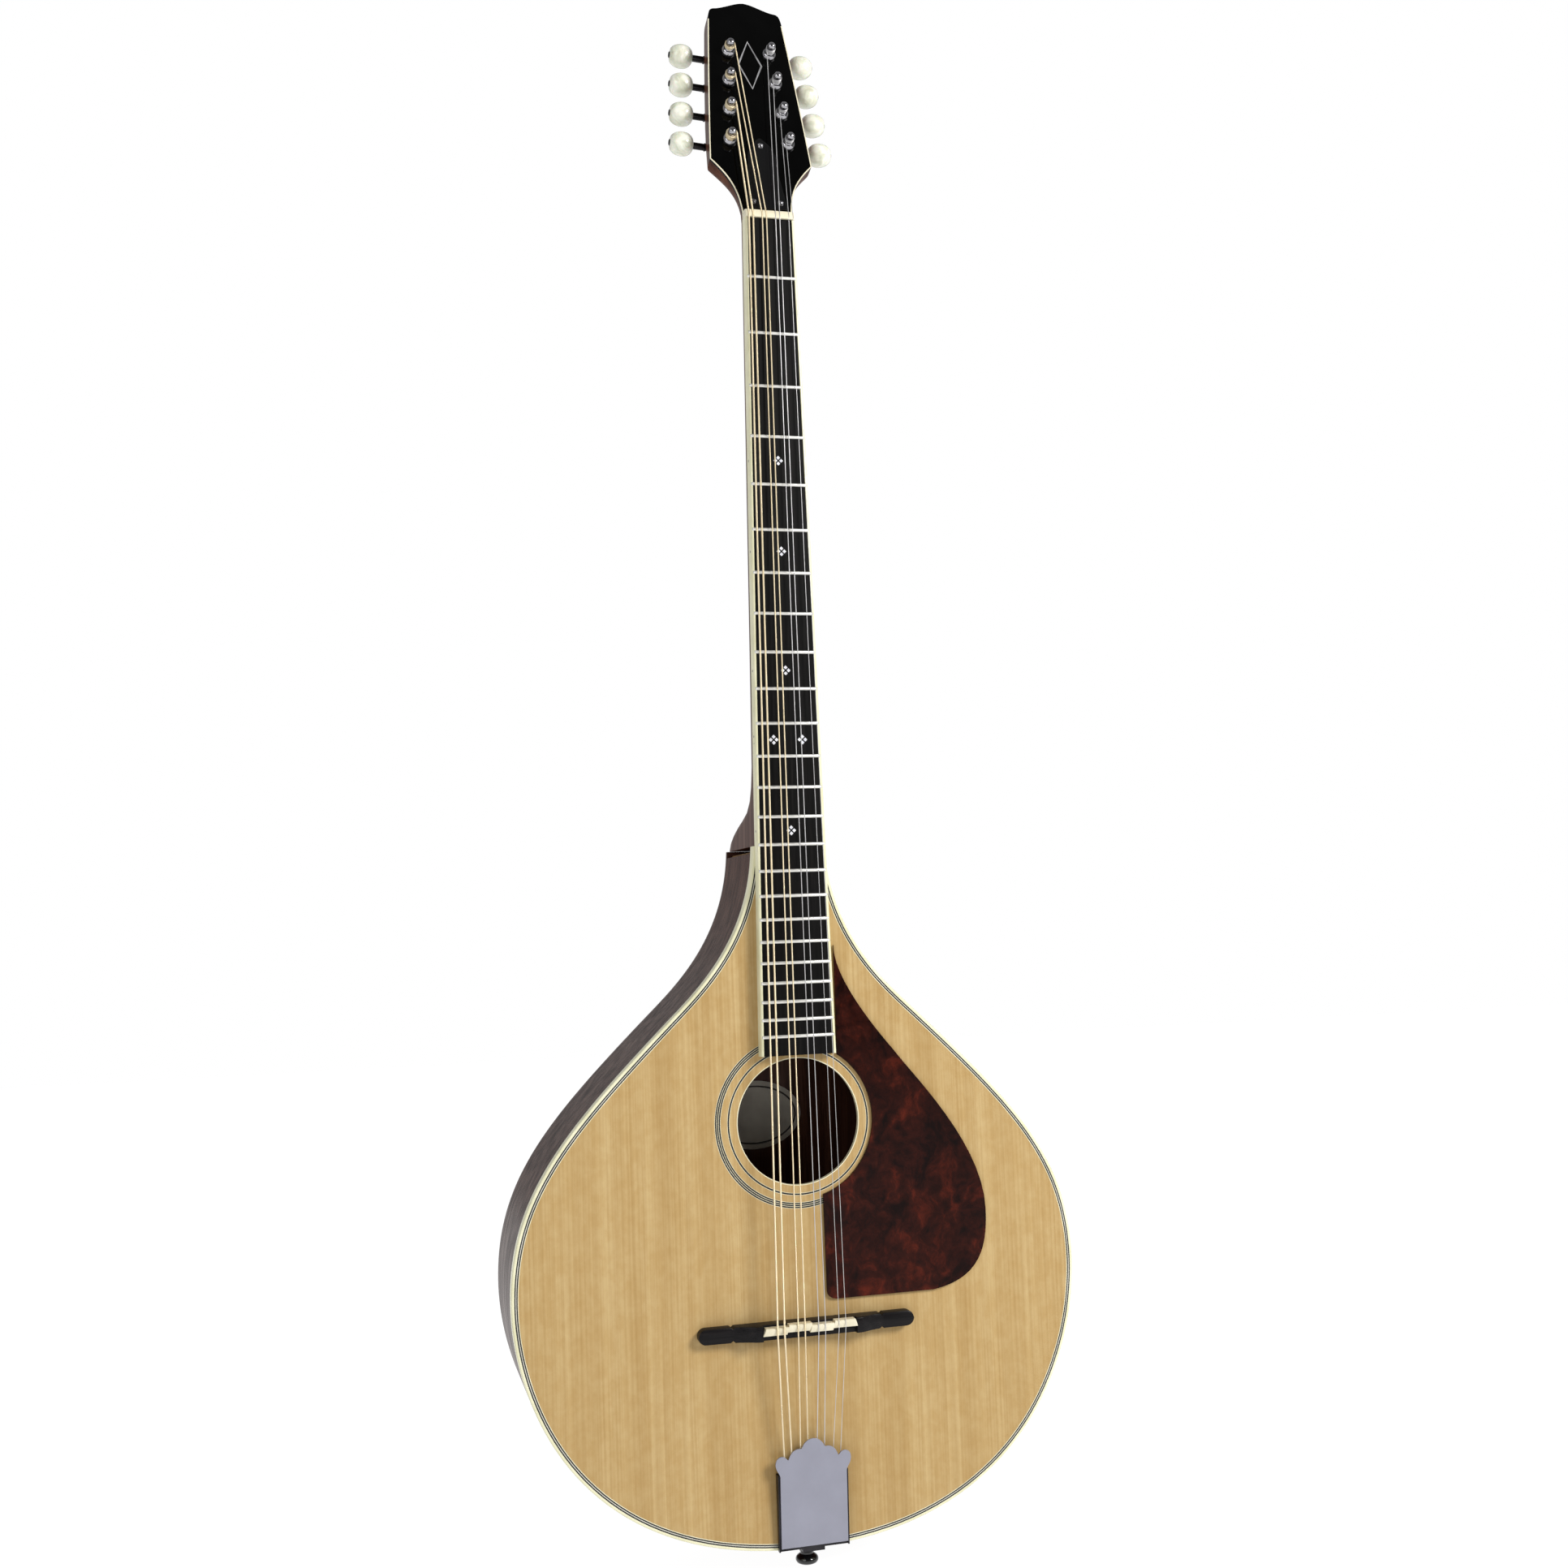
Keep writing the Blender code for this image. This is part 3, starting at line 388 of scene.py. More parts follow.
def add_loft(bm, rings, caps=True):
    """Faces between rings of points, each ring a loop."""
    rows = [[bm.verts.new(point) for point in ring] for ring in rings]
    for upper, lower in zip(rows, rows[1:]):
        count = len(upper)
        for i in range(count):
            j = (i + 1) % count
            bm.faces.new((upper[i], upper[j], lower[j], lower[i]))
    if caps:
        bm.faces.new(rows[0])
        bm.faces.new(rows[-1][::-1])
    return rows


def slab(name, loops, low, high, bevel=0.0, shift=None, matrix=None, segments=3):
    """Plate with its outline in XZ, from y = low to y = high, with softened edges."""
    curve = bpy.data.curves.new(name, 'CURVE')
    curve.dimensions = '2D'
    curve.fill_mode = 'BOTH'
    curve.extrude = (high - low) / 2
    for loop in loops:
        spline = curve.splines.new('POLY')
        spline.points.add(len(loop) - 1)
        spline.use_cyclic_u = True
        for point, (x, z) in zip(spline.points, loop):
            point.co = (x, z, 0, 1)
    drawn = bpy.data.objects.new(name, curve)
    bpy.context.scene.collection.objects.link(drawn)
    graph = bpy.context.evaluated_depsgraph_get()
    mesh = bpy.data.meshes.new_from_object(drawn.evaluated_get(graph))
    bpy.data.objects.remove(drawn)
    bm = bmesh.new()
    bm.from_mesh(mesh)
    bpy.data.meshes.remove(mesh)
    bm.transform(Matrix.Rotation(math.radians(90), 4, 'X'))
    for vertex in bm.verts:
        vertex.co.y += (low + high) / 2
        if shift:
            vertex.co.y = shift(vertex.co.y, vertex.co.z)
    piece = piece_from(name, bm, matrix)
    if bevel:
        soften(piece, bevel, segments)
    return piece


def soften(piece, width, segments=2, angle=50):
    """Round the piece's sharp edges."""
    bevel = piece.modifiers.new("soften", 'BEVEL')
    bevel.width = width * MM
    bevel.segments = segments
    bevel.limit_method = 'ANGLE'
    bevel.angle_limit = math.radians(angle)
    bevel.harden_normals = True
    return piece


def lathe(name, profile, steps=32, matrix=None, bm=None):
    """Solid of revolution about local Z from (radius, z) points, end to end."""
    own = bm is None
    bm = bm or bmesh.new()
    rings = []
    for radius, z in profile:
        turn = 2 * math.pi / steps
        rings.append([(radius * math.cos(i * turn), radius * math.sin(i * turn), z) for i in range(steps)])
    add_loft(bm, rings)
    return piece_from(name, bm, matrix) if own else bm


def add_tube(bm, points, radius, sides=10):
    """Round tube along points, closed at its ends."""
    points = [Vector(point) for point in points]
    side = (points[1] - points[0]).orthogonal().normalized()
    rings = []
    for i, point in enumerate(points):
        along = (points[min(i + 1, len(points) - 1)] - points[max(i - 1, 0)]).normalized()
        side = (side - along * side.dot(along)).normalized()
        other = along.cross(side)
        turn = 2 * math.pi / sides
        spokes = [side * math.cos(k * turn) + other * math.sin(k * turn) for k in range(sides)]
        rings.append([point + spoke * radius for spoke in spokes])
    add_loft(bm, rings)


def cubic(curve, t):
    """Point of a cubic curve at t."""
    a, b, c, d = (Vector(point) for point in curve)
    s = 1 - t
    return a * s ** 3 + b * 3 * s * s * t + c * 3 * s * t * t + d * t ** 3


def follow(curves, steps, inset=0.0):
    """Points along joined cubic curves, moved to their right-hand side by inset."""
    points = []
    for curve in curves:
        for i in range(steps):
            before = cubic(curve, max(i - 0.5, 0) / steps)
            along = (cubic(curve, (i + 0.5) / steps) - before).normalized()
            here = cubic(curve, i / steps)
            points.append((here.x + along.y * inset, here.y - along.x * inset))
    end = cubic(curves[-1], 1)
    along = (end - cubic(curves[-1], 1 - 0.5 / steps)).normalized()
    points.append((end.x + along.y * inset, end.y - along.x * inset))
    return points


def body_path(inset):
    """Right half of the body's outline, inset, from the neck joint to the tail."""
    path = follow(BODY_CURVES, BODY_STEPS, inset)
    path[0] = (path[0][0], NECK_JOINT)
    path[-1] = (0.0, BODY_END + inset)
    return path


def head_path(inset, steps=10):
    """Right half of the headstock's outline, inset, from the nut up to the crest."""
    path = follow(HEAD_CURVES, steps, -inset)
    path[-1] = (0.0, path[-1][1])
    return path


def mirrored(half):
    """Closed loop from the right half of an outline that ends on x = 0."""
    return half + [(-x, z) for x, z in reversed(half) if x > 0.01]


def circle(x, z, radius, count=64):
    turn = 2 * math.pi / count
    return [(x + radius * math.cos(i * turn), z + radius * math.sin(i * turn)) for i in range(count)]


def back_y(z):
    """y of the back's outer face at height z."""
    return BACK_AT_NECK + (BACK_AT_END - BACK_AT_NECK) * (NECK_JOINT - z) / (NECK_JOINT - BODY_END)


def cover_y(z):
    """y of the tailpiece cover's face at height z."""
    return COVER_TOP_Y + COVER_SLOPE * (COVER_TOP - z)


def board_half(z):
    """Half width of the fretboard's dark wood at height z."""
    t = min(max(z / BOARD_END, 0), 1)
    return BOARD_HALF_AT_NUT + (BOARD_HALF_AT_END - BOARD_HALF_AT_NUT) * t


def ribbon(name, profile, path_at, both=True, side=1, matrix=None):
    """Strip swept round an outline.

    The profile is a loop of (inset, y, material index of the face to the next point);
    y is a number or a function of z.
    """
    bm = bmesh.new()
    rings = []
    for inset, depth, _ in profile:
        half = path_at(inset)
        loop = mirrored(half) if both else [(x * side, z) for x, z in half]
        rings.append([bm.verts.new((x, depth(z) if callable(depth) else depth, z)) for x, z in loop])
    count = len(rings)
    for k in range(count):
        here, there = rings[k], rings[(k + 1) % count]
        for i in range(len(here) - 1):
            face = bm.faces.new((here[i], here[i + 1], there[i + 1], there[i]))
            face.material_index = profile[k][2]
    for end in (0, -1):
        bm.faces.new([ring[end] for ring in rings])
    return piece_from(name, bm, matrix)


def ring_lines(name, z, y, radii, depth, count=128):
    """Flat inlaid rings about (0, z): radii are (radius, material index out to the next)."""
    bm = bmesh.new()
    profile = [(radius, y, index) for radius, index in radii]
    profile += [(radii[-1][0], y + depth, 0), (radii[0][0], y + depth, 0)]
    rings = [[bm.verts.new((x, height, v)) for x, v in circle(0, z, radius, count)]
             for radius, height, _ in profile]
    for k, (_, _, index) in enumerate(profile):
        here, there = rings[k], rings[(k + 1) % len(profile)]
        for i in range(count):
            j = (i + 1) % count
            bm.faces.new((here[i], here[j], there[j], there[i])).material_index = index
    return piece_from(name, bm)


HEAD = Matrix.Translation((0, HEAD_FACE_Y, 0)) @ Matrix.Rotation(math.radians(-HEAD_TILT), 4, 'X')


def tuner_of(number):
    """Side and row of the tuner that holds a string."""
    return (1, number - 1) if number <= 4 else (-1, 8 - number)


def post_place(side, row):
    x = LOWEST_POST[0] - row * POST_SPACING * math.sin(math.radians(SLANT))
    z = LOWEST_POST[1] + row * POST_SPACING * math.cos(math.radians(SLANT))
    return side * x, z


def tuner_frame(side):
    x, z = LOWEST_POST
    return HEAD @ Matrix.Translation((side * x, 0, z)) @ Matrix.Rotation(math.radians(-side * SLANT), 4, 'Y')


# ---------------------------------------------------------------- body

def make_body():
    outline = mirrored(body_path(3.4))
    top = slab("soundboard_wood", [outline, circle(0, HOLE_Z, HOLE_RADIUS, 96)], TOP, TOP + TOP_THICKNESS)
    settle(top, SPRUCE, "instrument", "spruce_top", "soundboard")

    edge = [(0.0, 13.0, 0), (0.0, 8.0, 0), (0.16, 7.42, 0), (0.5, 7.08, 0), (1.0, 6.98, 0), (1.75, 6.98, 0),
            (1.75, 13.0, 0)]
    settle(ribbon("edge_binding", edge, body_path), IVORY, "instrument", "ivory_plastic", "body_binding")
    lines = [(1.75, 6.97, 0), (2.5, 6.97, 1), (2.9, 6.97, 0), (3.65, 6.97, 2), (4.05, 6.97, 0),
             (4.05, 8.0, 0), (1.75, 8.0, 0)]
    purfling = ribbon("edge_purfling", lines, body_path)
    settle(purfling, [BLACK_LINE, WHITE, CREAM], "instrument", "ivory_plastic")
    # Thin black line round the top of the ribs, just under the binding.
    under_binding = [(-0.02, 13.0, 0), (-0.02, 13.6, 0), (1.5, 13.6, 0), (1.5, 13.0, 0)]
    settle(ribbon("rib_black_line", under_binding, body_path), BLACK_LINE, "instrument", "black_plastic")

    def rib_path(inset):
        return [(0.15, NECK_JOINT - 0.15 - inset)] + body_path(inset)[1:-1] + [(0.15, BODY_END + inset)]

    def rib_back(z):
        return back_y(z) - BACK_THICKNESS

    for side_name, side in (("treble", 1), ("bass", -1)):
        wall = [(0.0, 13.6, 0), (0.0, rib_back, 0), (2.3, rib_back, 0), (2.3, 13.6, 0)]
        rib = ribbon("rib_" + side_name, wall, rib_path, False, side)
        settle(rib, RIB, "instrument", "rib_wood", "side_" + side_name)

    back = slab("back_wood", [mirrored(body_path(0))], -BACK_THICKNESS, 0, 1.2, lambda y, z: y + back_y(z))
    settle(back, BACK, "instrument", "rib_wood", "back_plate")

    rim = ring_lines("hole_rim", HOLE_Z, 6.97, [(HOLE_RADIUS - 0.02, 0), (HOLE_RADIUS + 0.5, 0)], 2.9)
    settle(rim, CREAM, "instrument", "ivory_plastic")
    inner = ring_lines("rosette_inner", HOLE_Z, 6.96, [(40.9, 1), (41.15, 0), (42.1, 1), (42.35, 0)], 0.5)
    settle(inner, [BLACK_LINE, CREAM], "instrument", "black_plastic")
    rings = [(46.2, 1), (46.45, 0), (47.3, 1), (47.55, 0), (48.4, 1), (48.65, 0), (49.5, 1), (49.75, 0)]
    outer = ring_lines("rosette_outer", HOLE_Z, 6.96, rings, 0.5)
    settle(outer, [BLACK_LINE, CREAM], "instrument", "black_plastic")

    for name in ("neck_block", "tail_block", "lining_top_bass", "lining_top_treble", "lining_back_bass",
                 "lining_back_treble", "brace_above_hole", "brace_below_hole", "tone_bar_bass",
                 "tone_bar_treble", "back_brace_upper", "back_brace_middle", "back_brace_lower"):
        repaint(name, BRACE)
    make_label()


def repaint(name, material, width=0.0):
    """A better material, and softer edges, on a CAD node that stays."""
    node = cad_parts[name]
    for slot in node.material_slots:
        slot.material = material
    if width:
        soften(node, width)


def make_label():
    """Blank oval paper label inside the back, with a plain dark line round it."""
    middle_x, middle_z = -9.0, -540.0
    face = back_y(middle_z) - BACK_THICKNESS

    def oval(half_x, half_z):
        return [(middle_x + half_x * x, middle_z + half_z * z) for x, z in circle(0, 0, 1)]

    def lie(y, z):
        return y + (back_y(z) - back_y(middle_z))

    paper = slab("label_paper", [oval(30, 21)], face - 0.2, face, shift=lie)
    settle(paper, PAPER, "instrument", "bone")
    line = slab("label_line", [oval(27, 18), oval(26, 17)], face - 0.26, face - 0.1, shift=lie)
    settle(line, INK, "instrument", "black_plastic")


def make_pickguard():
    edge = follow(GUARD_CURVES, 14)
    edge += [(18.2, -638.7), (16.2, -638.3), (14.5, -637.2), (13.5, -635.8), (13.2, -634)]
    start, end = math.radians(-73), math.radians(57)
    arc = []
    for i in range(41):
        angle = start + (end - start) * i / 40
        arc.append((44.3 * math.cos(angle), HOLE_Z + 44.3 * math.sin(angle)))
    loop = edge + arc
    guard = slab("pickguard_plate", [loop], 5.1, TOP - 0.02, 0.5)
    settle(guard, TORTOISE, "instrument", "tortoise_plastic", "pickguard")


# ---------------------------------------------------------------- neck

def neck_ring(z, half, top, depth, square, count=28):
    ring = []
    for i in range(count + 1):
        angle = math.pi * i / count
        x = half * math.copysign(abs(math.cos(angle)) ** (2 / square), math.cos(angle))
        ring.append((x, top + depth * abs(math.sin(angle)) ** (2 / square), z))
    return ring


def make_neck():
    """Shaft with its heel, and the headstock's wood."""
    marks = (
        (17, 9.5, 2.2), (8, 12.6, 2.2), (0, 14.0, 2.2), (-80, 14.9, 2.25), (-165, 15.7, 2.3),
        (-250, 16.6, 2.3), (-330, 17.6, 2.4), (-342, 20.5, 2.8), (-350, 25.0, 3.3), (-356, 33.0, 4.0),
        (-360, 43.0, 5.5), (-364, 54.0, 8.0), (-368, 62.5, 11.0), (-372, 68.0, 15.0), (-376.85, 70.6, 20.0),
    )
    rings = []
    for upper, lower in zip(marks, marks[1:]):
        steps = 4
        for i in range(steps):
            t = i / steps
            z, depth, square = (a + (b - a) * t for a, b in zip(upper, lower))
            rings.append(neck_ring(z, board_half(z) + STRIP_WIDTH, 7.0 + max(z, 0) * 0.27, depth, square))
    z, depth, square = marks[-1]
    rings.append(neck_ring(z, board_half(z) + STRIP_WIDTH, 7.0, depth, square))
    bm = bmesh.new()
    add_loft(bm, rings)
    shaft = piece_from("neck_shaft", bm)
    settle(shaft, NECK, "instrument", "neck_wood", "neck")
    make_head_wood()
    holes = [circle(*post_place(side, row), POST_BORE, 24) for side in (1, -1) for row in range(4)]
    outline = mirrored([(15.33, OVERLAY_START)] + [p for p in head_path(0) if p[1] > OVERLAY_START])
    face = slab("headstock_face", [outline] + holes, 0, 2.02, 0.0, None, HEAD)
    settle(face, GLOSS, "instrument", "black_plastic", "headstock_overlay")

    def side_path(inset):
        return head_path(inset)[:21]

    for side_name, side in (("treble", 1), ("bass", -1)):
        line = [(-0.03, -0.03, 0), (0.6, -0.03, 0), (0.6, 0.5, 0), (-0.03, 0.5, 0)]
        piece = ribbon("headstock_line_" + side_name, line, side_path, False, side, HEAD)
        settle(piece, BONE, "instrument", "ivory_plastic")


def make_head_wood():
    """Headstock carved from full thickness at its top to the neck's round back at the nut."""
    outline = mirrored(head_path(0))
    deep = HEAD_BACK - 2.0
    rings = []
    for depth in (0.0, 2.5, 4.5, 6.5, 8.0, 9.2, 10.2, 11.0, 11.6, deep):
        ring = []
        for x, z in outline:
            blend = min(max(z / 75.0, 0.0), 1.0)
            square = 2.1 + 0.9 * blend + 17.0 * blend ** 3
            narrow = (1 - (depth / (deep + 0.4)) ** square) ** (1 / square)
            ring.append((x * narrow, 2.0 + depth, z))
        rings.append(ring)
    bm = bmesh.new()
    add_loft(bm, rings)
    wood = piece_from("headstock_wood", bm, HEAD)
    bm = bmesh.new()
    for side in (1, -1):
        for row in range(4):
            x, z = post_place(side, row)
            add_tube(bm, [(x, 0, z), (x, HEAD_BACK + 4, z)], POST_BORE, 24)
    bores = piece_from("post_bores", bm, HEAD)
    carve(wood, bores)
    settle(wood, NECK, "instrument", "neck_wood", "neck")


def carve(piece, tool):
    """Take the tool's volume out of the piece."""
    cut = piece.modifiers.new("cut", 'BOOLEAN')
    cut.operation = 'DIFFERENCE'
    cut.solver = 'EXACT'
    cut.object = tool
    bpy.context.view_layer.objects.active = piece
    bpy.ops.object.modifier_apply(modifier="cut")
    bpy.data.objects.remove(tool)


def make_truss_cover():
    half = follow(COVER_CURVES, 10)
    half[-1] = (0.0, half[-1][1])
    cover = slab("truss_cover_plate", [mirrored(half)], -2.3, -0.02, 0.5, None, HEAD)
    settle(cover, COVER_BLACK, "instrument", "black_plastic", "truss_rod_cover")
    for number, (x, z) in enumerate(((0, 54.0), (8.5, 12), (-8.5, 12)), 1):
        screw(f"truss_cover_screw_{number}", HEAD @ Matrix.Translation((x, -2.25, z)), 2.0)
    repaint("truss_rod", STEEL)
    repaint("truss_rod_nut", BRASS, 0.2)

    outer = [(0, 137), (8, 118), (0, 99), (-8, 118)]
    within = [(x * 0.84, 118 + (z - 118) * 0.93) for x, z in outer]
    badge = slab("headstock_lozenge", [outer, within], -0.03, 0.3, 0.0, None, HEAD)
    settle(badge, SILVER_INLAY, "instrument", "pearl_plastic")


def screw(name, place, radius, facing=-1):
    """Domed cross-head screw whose head faces -Y (or +Y) of its place."""
    bm = bmesh.new()
    profile = [(0.01, 0.78), (0.3, 0.77), (0.62, 0.62), (0.88, 0.34), (1.0, 0.0), (1.0, -0.2), (0.01, -0.2)]
    rings = []
    steps = 32
    for r, z in profile:
        ring = []
        for i in range(steps):
            angle = 2 * math.pi * i / steps
            x, y = r * radius * math.cos(angle), r * radius * math.sin(angle)
            in_cross = min(abs(x), abs(y)) < 0.14 * radius and max(abs(x), abs(y)) < 0.66 * radius and z > 0.5
            ring.append((x, y, (z - (0.4 if in_cross else 0)) * radius * 0.8))
        rings.append(ring)
    add_loft(bm, rings)
    turn = Matrix.Rotation(math.radians(90 if facing < 0 else -90), 4, 'X')
    piece = piece_from(name, bm, place @ turn)
    settle(piece, CHROME, "instrument", "nickel")
    return piece


def fret_z(number):
    return -SCALE_LENGTH * (1 - 2 ** (-number / 12))


def make_fretboard():
    bm = bmesh.new()
    rings = []
    for z in (0.0, BOARD_END):
        half = board_half(z) + 0.02
        rings.append([(-half, 7, z), (-half, 0, z), (half, 0, z), (half, 7, z)])
    add_loft(bm, rings)
    settle(soften(piece_from("fretboard_wood", bm), 0.15), EBONY, "instrument", "ebony", "fretboard")
    for side_name, side in (("treble", 1), ("bass", -1)):
        bm = bmesh.new()
        rings = []
        for z in (0.0, BOARD_END):
            half = board_half(z)
            profile = ((0, 7), (0, -0.01), (0.8, -0.01), (1.2, 0.12), (1.48, 0.42), (1.6, 0.9), (1.6, 7))
            rings.append([(side * (half + x), y, z) for x, y in profile])
        add_loft(bm, rings)
        settle(piece_from("board_binding_" + side_name, bm), IVORY, "instrument", "ivory_plastic",
               "fretboard_binding_" + side_name)
    bm = bmesh.new()
    for number in range(1, 25):
        z = fret_z(number)
        half = board_half(z) + 0.9
        rings = []
        for x, size in ((-half, 0.3), (-half + 0.45, 0.8), (-half + 1.0, 1.0), (half - 1.0, 1.0),
                        (half - 0.45, 0.8), (half, 0.3)):
            arc = [math.pi * k / 8 for k in range(9)]
            rings.append([(x, 0.05 - 0.95 * size * math.sin(a), z + 0.95 * math.cos(a)) for a in arc])
        add_loft(bm, rings)
    settle(piece_from("frets", bm, sharp=60), FRET, "instrument", "nickel")
    make_inlays()


def make_inlays():
    """Position marks of four small diamonds, and dots on the bass edge."""
    marks = [(0, 5), (0, 7), (0, 10), (8.7, 12), (-8.7, 12), (0, 15)]
    star = [(1.2, 0), (0.6, 0.6), (0, 1.2), (-0.6, 0.6), (-1.2, 0), (-0.6, -0.6), (0, -1.2), (0.6, -0.6)]
    bm = bmesh.new()
    for x, number in marks:
        z = (fret_z(number) + fret_z(number - 1)) / 2
        for dx, dz in ((0, 1.75), (0, -1.75), (1.75, 0), (-1.75, 0)):
            rings = [[(x + dx + a, y, z + dz + b) for a, b in star] for y in (-0.03, 0.4)]
            add_loft(bm, rings)
    settle(piece_from("position_inlays", bm), SHELL, "instrument", "pearl_plastic")
    bm = bmesh.new()
    for number in (5, 7, 10, 12, 15):
        z = (fret_z(number) + fret_z(number - 1)) / 2
        x = -(board_half(z) + STRIP_WIDTH)
        for dz in ((-2.2, 2.2) if number == 12 else (0,)):
            dot = circle(0, 3.2, 0.75, 16)
            add_loft(bm, [[(edge, v, z + dz + u) for u, v in dot] for edge in (x - 0.03, x + 0.3)])
    settle(piece_from("side_dots", bm), BLACK_LINE, "instrument", "black_plastic")


def nut_x(number):
    course = 1.5 - (number - 1) // 2
    return 0.5 + 8.25 * course + 1.3 * (1 if number % 2 else -1)


def make_nut():
    """Bone nut with a slot for each string."""
    half = BOARD_HALF_AT_NUT + STRIP_WIDTH
    top = [(-half, 0.2), (-half + 0.3, -0.9), (-half + 0.9, -1.4)]
    for number in range(8, 0, -1):
        wire = DIAMETERS[number - 1] / 2
        x, r = nut_x(number), wire + 0.06
        top.append((x - r, -1.5))
        for k in range(1, 6):
            angle = math.pi * (1 + k / 6)
            top.append((x + r * math.cos(angle), NUT_BOTTOM - wire - r * math.sin(angle)))
        top.append((x + r, -1.5))
    top += [(half - 0.9, -1.4), (half - 0.3, -0.9), (half, 0.2)]
    loop = [(-half, 6.9)] + top + [(half, 6.9)]
    bm = bmesh.new()
    rings = []
    for z, drop in ((0.05, 0.25), (0.3, 0.0), (2.2, 0.0), (4.4, 0.75), (5.0, 1.3)):
        rings.append([(x, y + drop if y < 3 else y, z) for x, y in loop])
    add_loft(bm, rings)
    settle(piece_from("bone_nut", bm), BONE, "instrument", "bone", "nut")


# ---------------------------------------------------------------- bridge and tailpiece

def make_bridge():
    """Floating bridge with low notched feet, and a saddle of four staggered blocks."""
    middle = -652.6
    stations = []
    for k in range(9):
        angle = math.pi / 2 * k / 8
        stations.append((59.3 + 4.4 * math.cos(angle), 4.4 * math.sin(angle), 5.9))
    stations += [(58, 4.4, 6.0), (45.3, 4.4, 6.2), (44.0, 3.3, 6.3), (42.7, 4.4, 6.6), (40, 4.4, 7.2),
                 (35, 4.4, 9.2), (31.4, 4.4, 11.2), (30.2, 4.4, 11.4), (27.62, 4.4, 11.4), (27.6, 4.4, 8.2)]
    left = [(-x, half, height) for x, half, height in reversed(stations)]
    bm = bmesh.new()
    rings = []
    for x, half, height in stations + left:
        half = max(half, 0.05)
        round_off = min(0.9, half * 0.7)
        y = TOP - height
        rings.append([
            (x, TOP - 0.02, middle - half), (x, y + round_off, middle - half),
            (x, y + round_off * 0.3, middle - half + round_off * 0.3), (x, y, middle - half + round_off),
            (x, y, middle + half - round_off), (x, y + round_off * 0.3, middle + half - round_off * 0.3),
            (x, y + round_off, middle + half), (x, TOP - 0.02, middle + half),
        ])
    add_loft(bm, rings)
    settle(piece_from("bridge_wood", bm), BRIDGE_EBONY, "instrument", "ebony", "bridge")

    bm = bmesh.new()
    top, low, width = SADDLE_BOTTOM + 0.02, TOP - 8.25, 13.5
    for k in range(4):
        start = -27 + k * width
        offset = 0.55 if k % 2 else -0.55
        lean = 0.9
        back, front = SADDLE_Z - 2.3 + offset, SADDLE_Z + 2.0 + offset
        section = ((low, back), (top + 1.2, back), (top, front - 1.9), (top, front - 0.5), (top + 0.5, front),
                   (low, front))
        rings = []
        for x, slant in ((start + 0.03, lean if k else 1.6), (start + width - 0.03, lean if k < 3 else -1.6)):
            rings.append([(x + slant * (v - SADDLE_Z) / 4.3, y, v) for y, v in section])
        add_loft(bm, rings)
    saddle = piece_from("saddle_blocks", bm)
    settle(saddle, BONE, "instrument", "bone", "saddle")


def make_tailpiece():
    """Lobed cover, the hooks under it, and the end pin."""
    half = [(19.5, -772.9), (19.5, -733.0), (19.8, -732.0), (20.3, -731.0), (21.0, -729.9), (21.6, -728.7),
            (22.0, -727.4), (22.15, -726.1), (22.0, -724.7), (21.5, -723.4), (20.7, -722.5), (19.7, -722.0),
            (18.5, -721.8), (17.3, -722.0), (16.3, -722.6), (15.5, -723.4), (14.8, -724.1), (14.5, -723.7),
            (14.1, -722.7), (13.5, -721.5), (12.7, -720.4), (11.7, -719.5), (10.6, -718.9), (9.5, -718.5),
            (8.4, -718.4), (7.5, -718.5), (6.9, -718.4), (6.5, -718.0), (6.0, -716.9), (5.3, -715.9),
            (4.4, -715.0), (3.3, -714.2), (2.2, -713.7), (1.1, -713.4), (0.0, -713.3)]

    def slope(y, z):
        return y + cover_y(z)

    cover = slab("cover_shell", [mirrored(half)], 0, 2.2, 0.0, slope)
    for name, reach, floor in (("cover_room", 18.6, -800), ("ear_room", 30, -733.1)):
        corners = [(reach, floor), (reach, -700), (-reach, -700), (-reach, floor)]
        room = slab(name, [corners], 0.9, 12, 0, slope)
        carve(cover, room)
    soften(cover, 0.32, 2, 40)
    settle(cover, SATIN, "cover", "nickel", "tailpiece_cover")

    repaint("tailpiece_base", TRAY, 0.15)
    bm = bmesh.new()
    for number in range(1, 9):
        x = HOOK_SPACING * (4.5 - number)
        arc = [(x, 5.4, HOOK_Z - 2.4), (x, 4.6, HOOK_Z - 2.3), (x, 3.6, HOOK_Z - 1.9), (x, 3.1, HOOK_Z - 1.1),
               (x, 3.2, HOOK_Z - 0.2), (x, 3.7, HOOK_Z + 0.2)]
        add_tube(bm, arc, 0.55, 8)
    settle(piece_from("string_hooks", bm), NICKEL, "instrument", "nickel")

    profile = [(0.01, 21), (2.9, 20.9), (3.6, 2), (3.7, 0.1), (4.7, 0.0), (5.0, -0.3), (5.1, -1.0),
               (5.05, -2.0), (4.7, -3.2), (4.1, -4.3), (3.9, -4.9), (4.0, -5.5), (4.6, -6.1), (5.6, -6.8),
               (6.3, -7.6), (6.6, -8.6), (6.5, -9.5), (5.9, -10.4), (4.8, -10.95), (3.0, -11.25),
               (0.01, -11.3)]
    pin = lathe("end_pin_turned", profile, 40, Matrix.Translation((0, PIN_Y, BODY_END - 1.8)))
    settle(pin, PIN_BLACK, "instrument", "black_plastic", "end_pin")


# ---------------------------------------------------------------- tuners

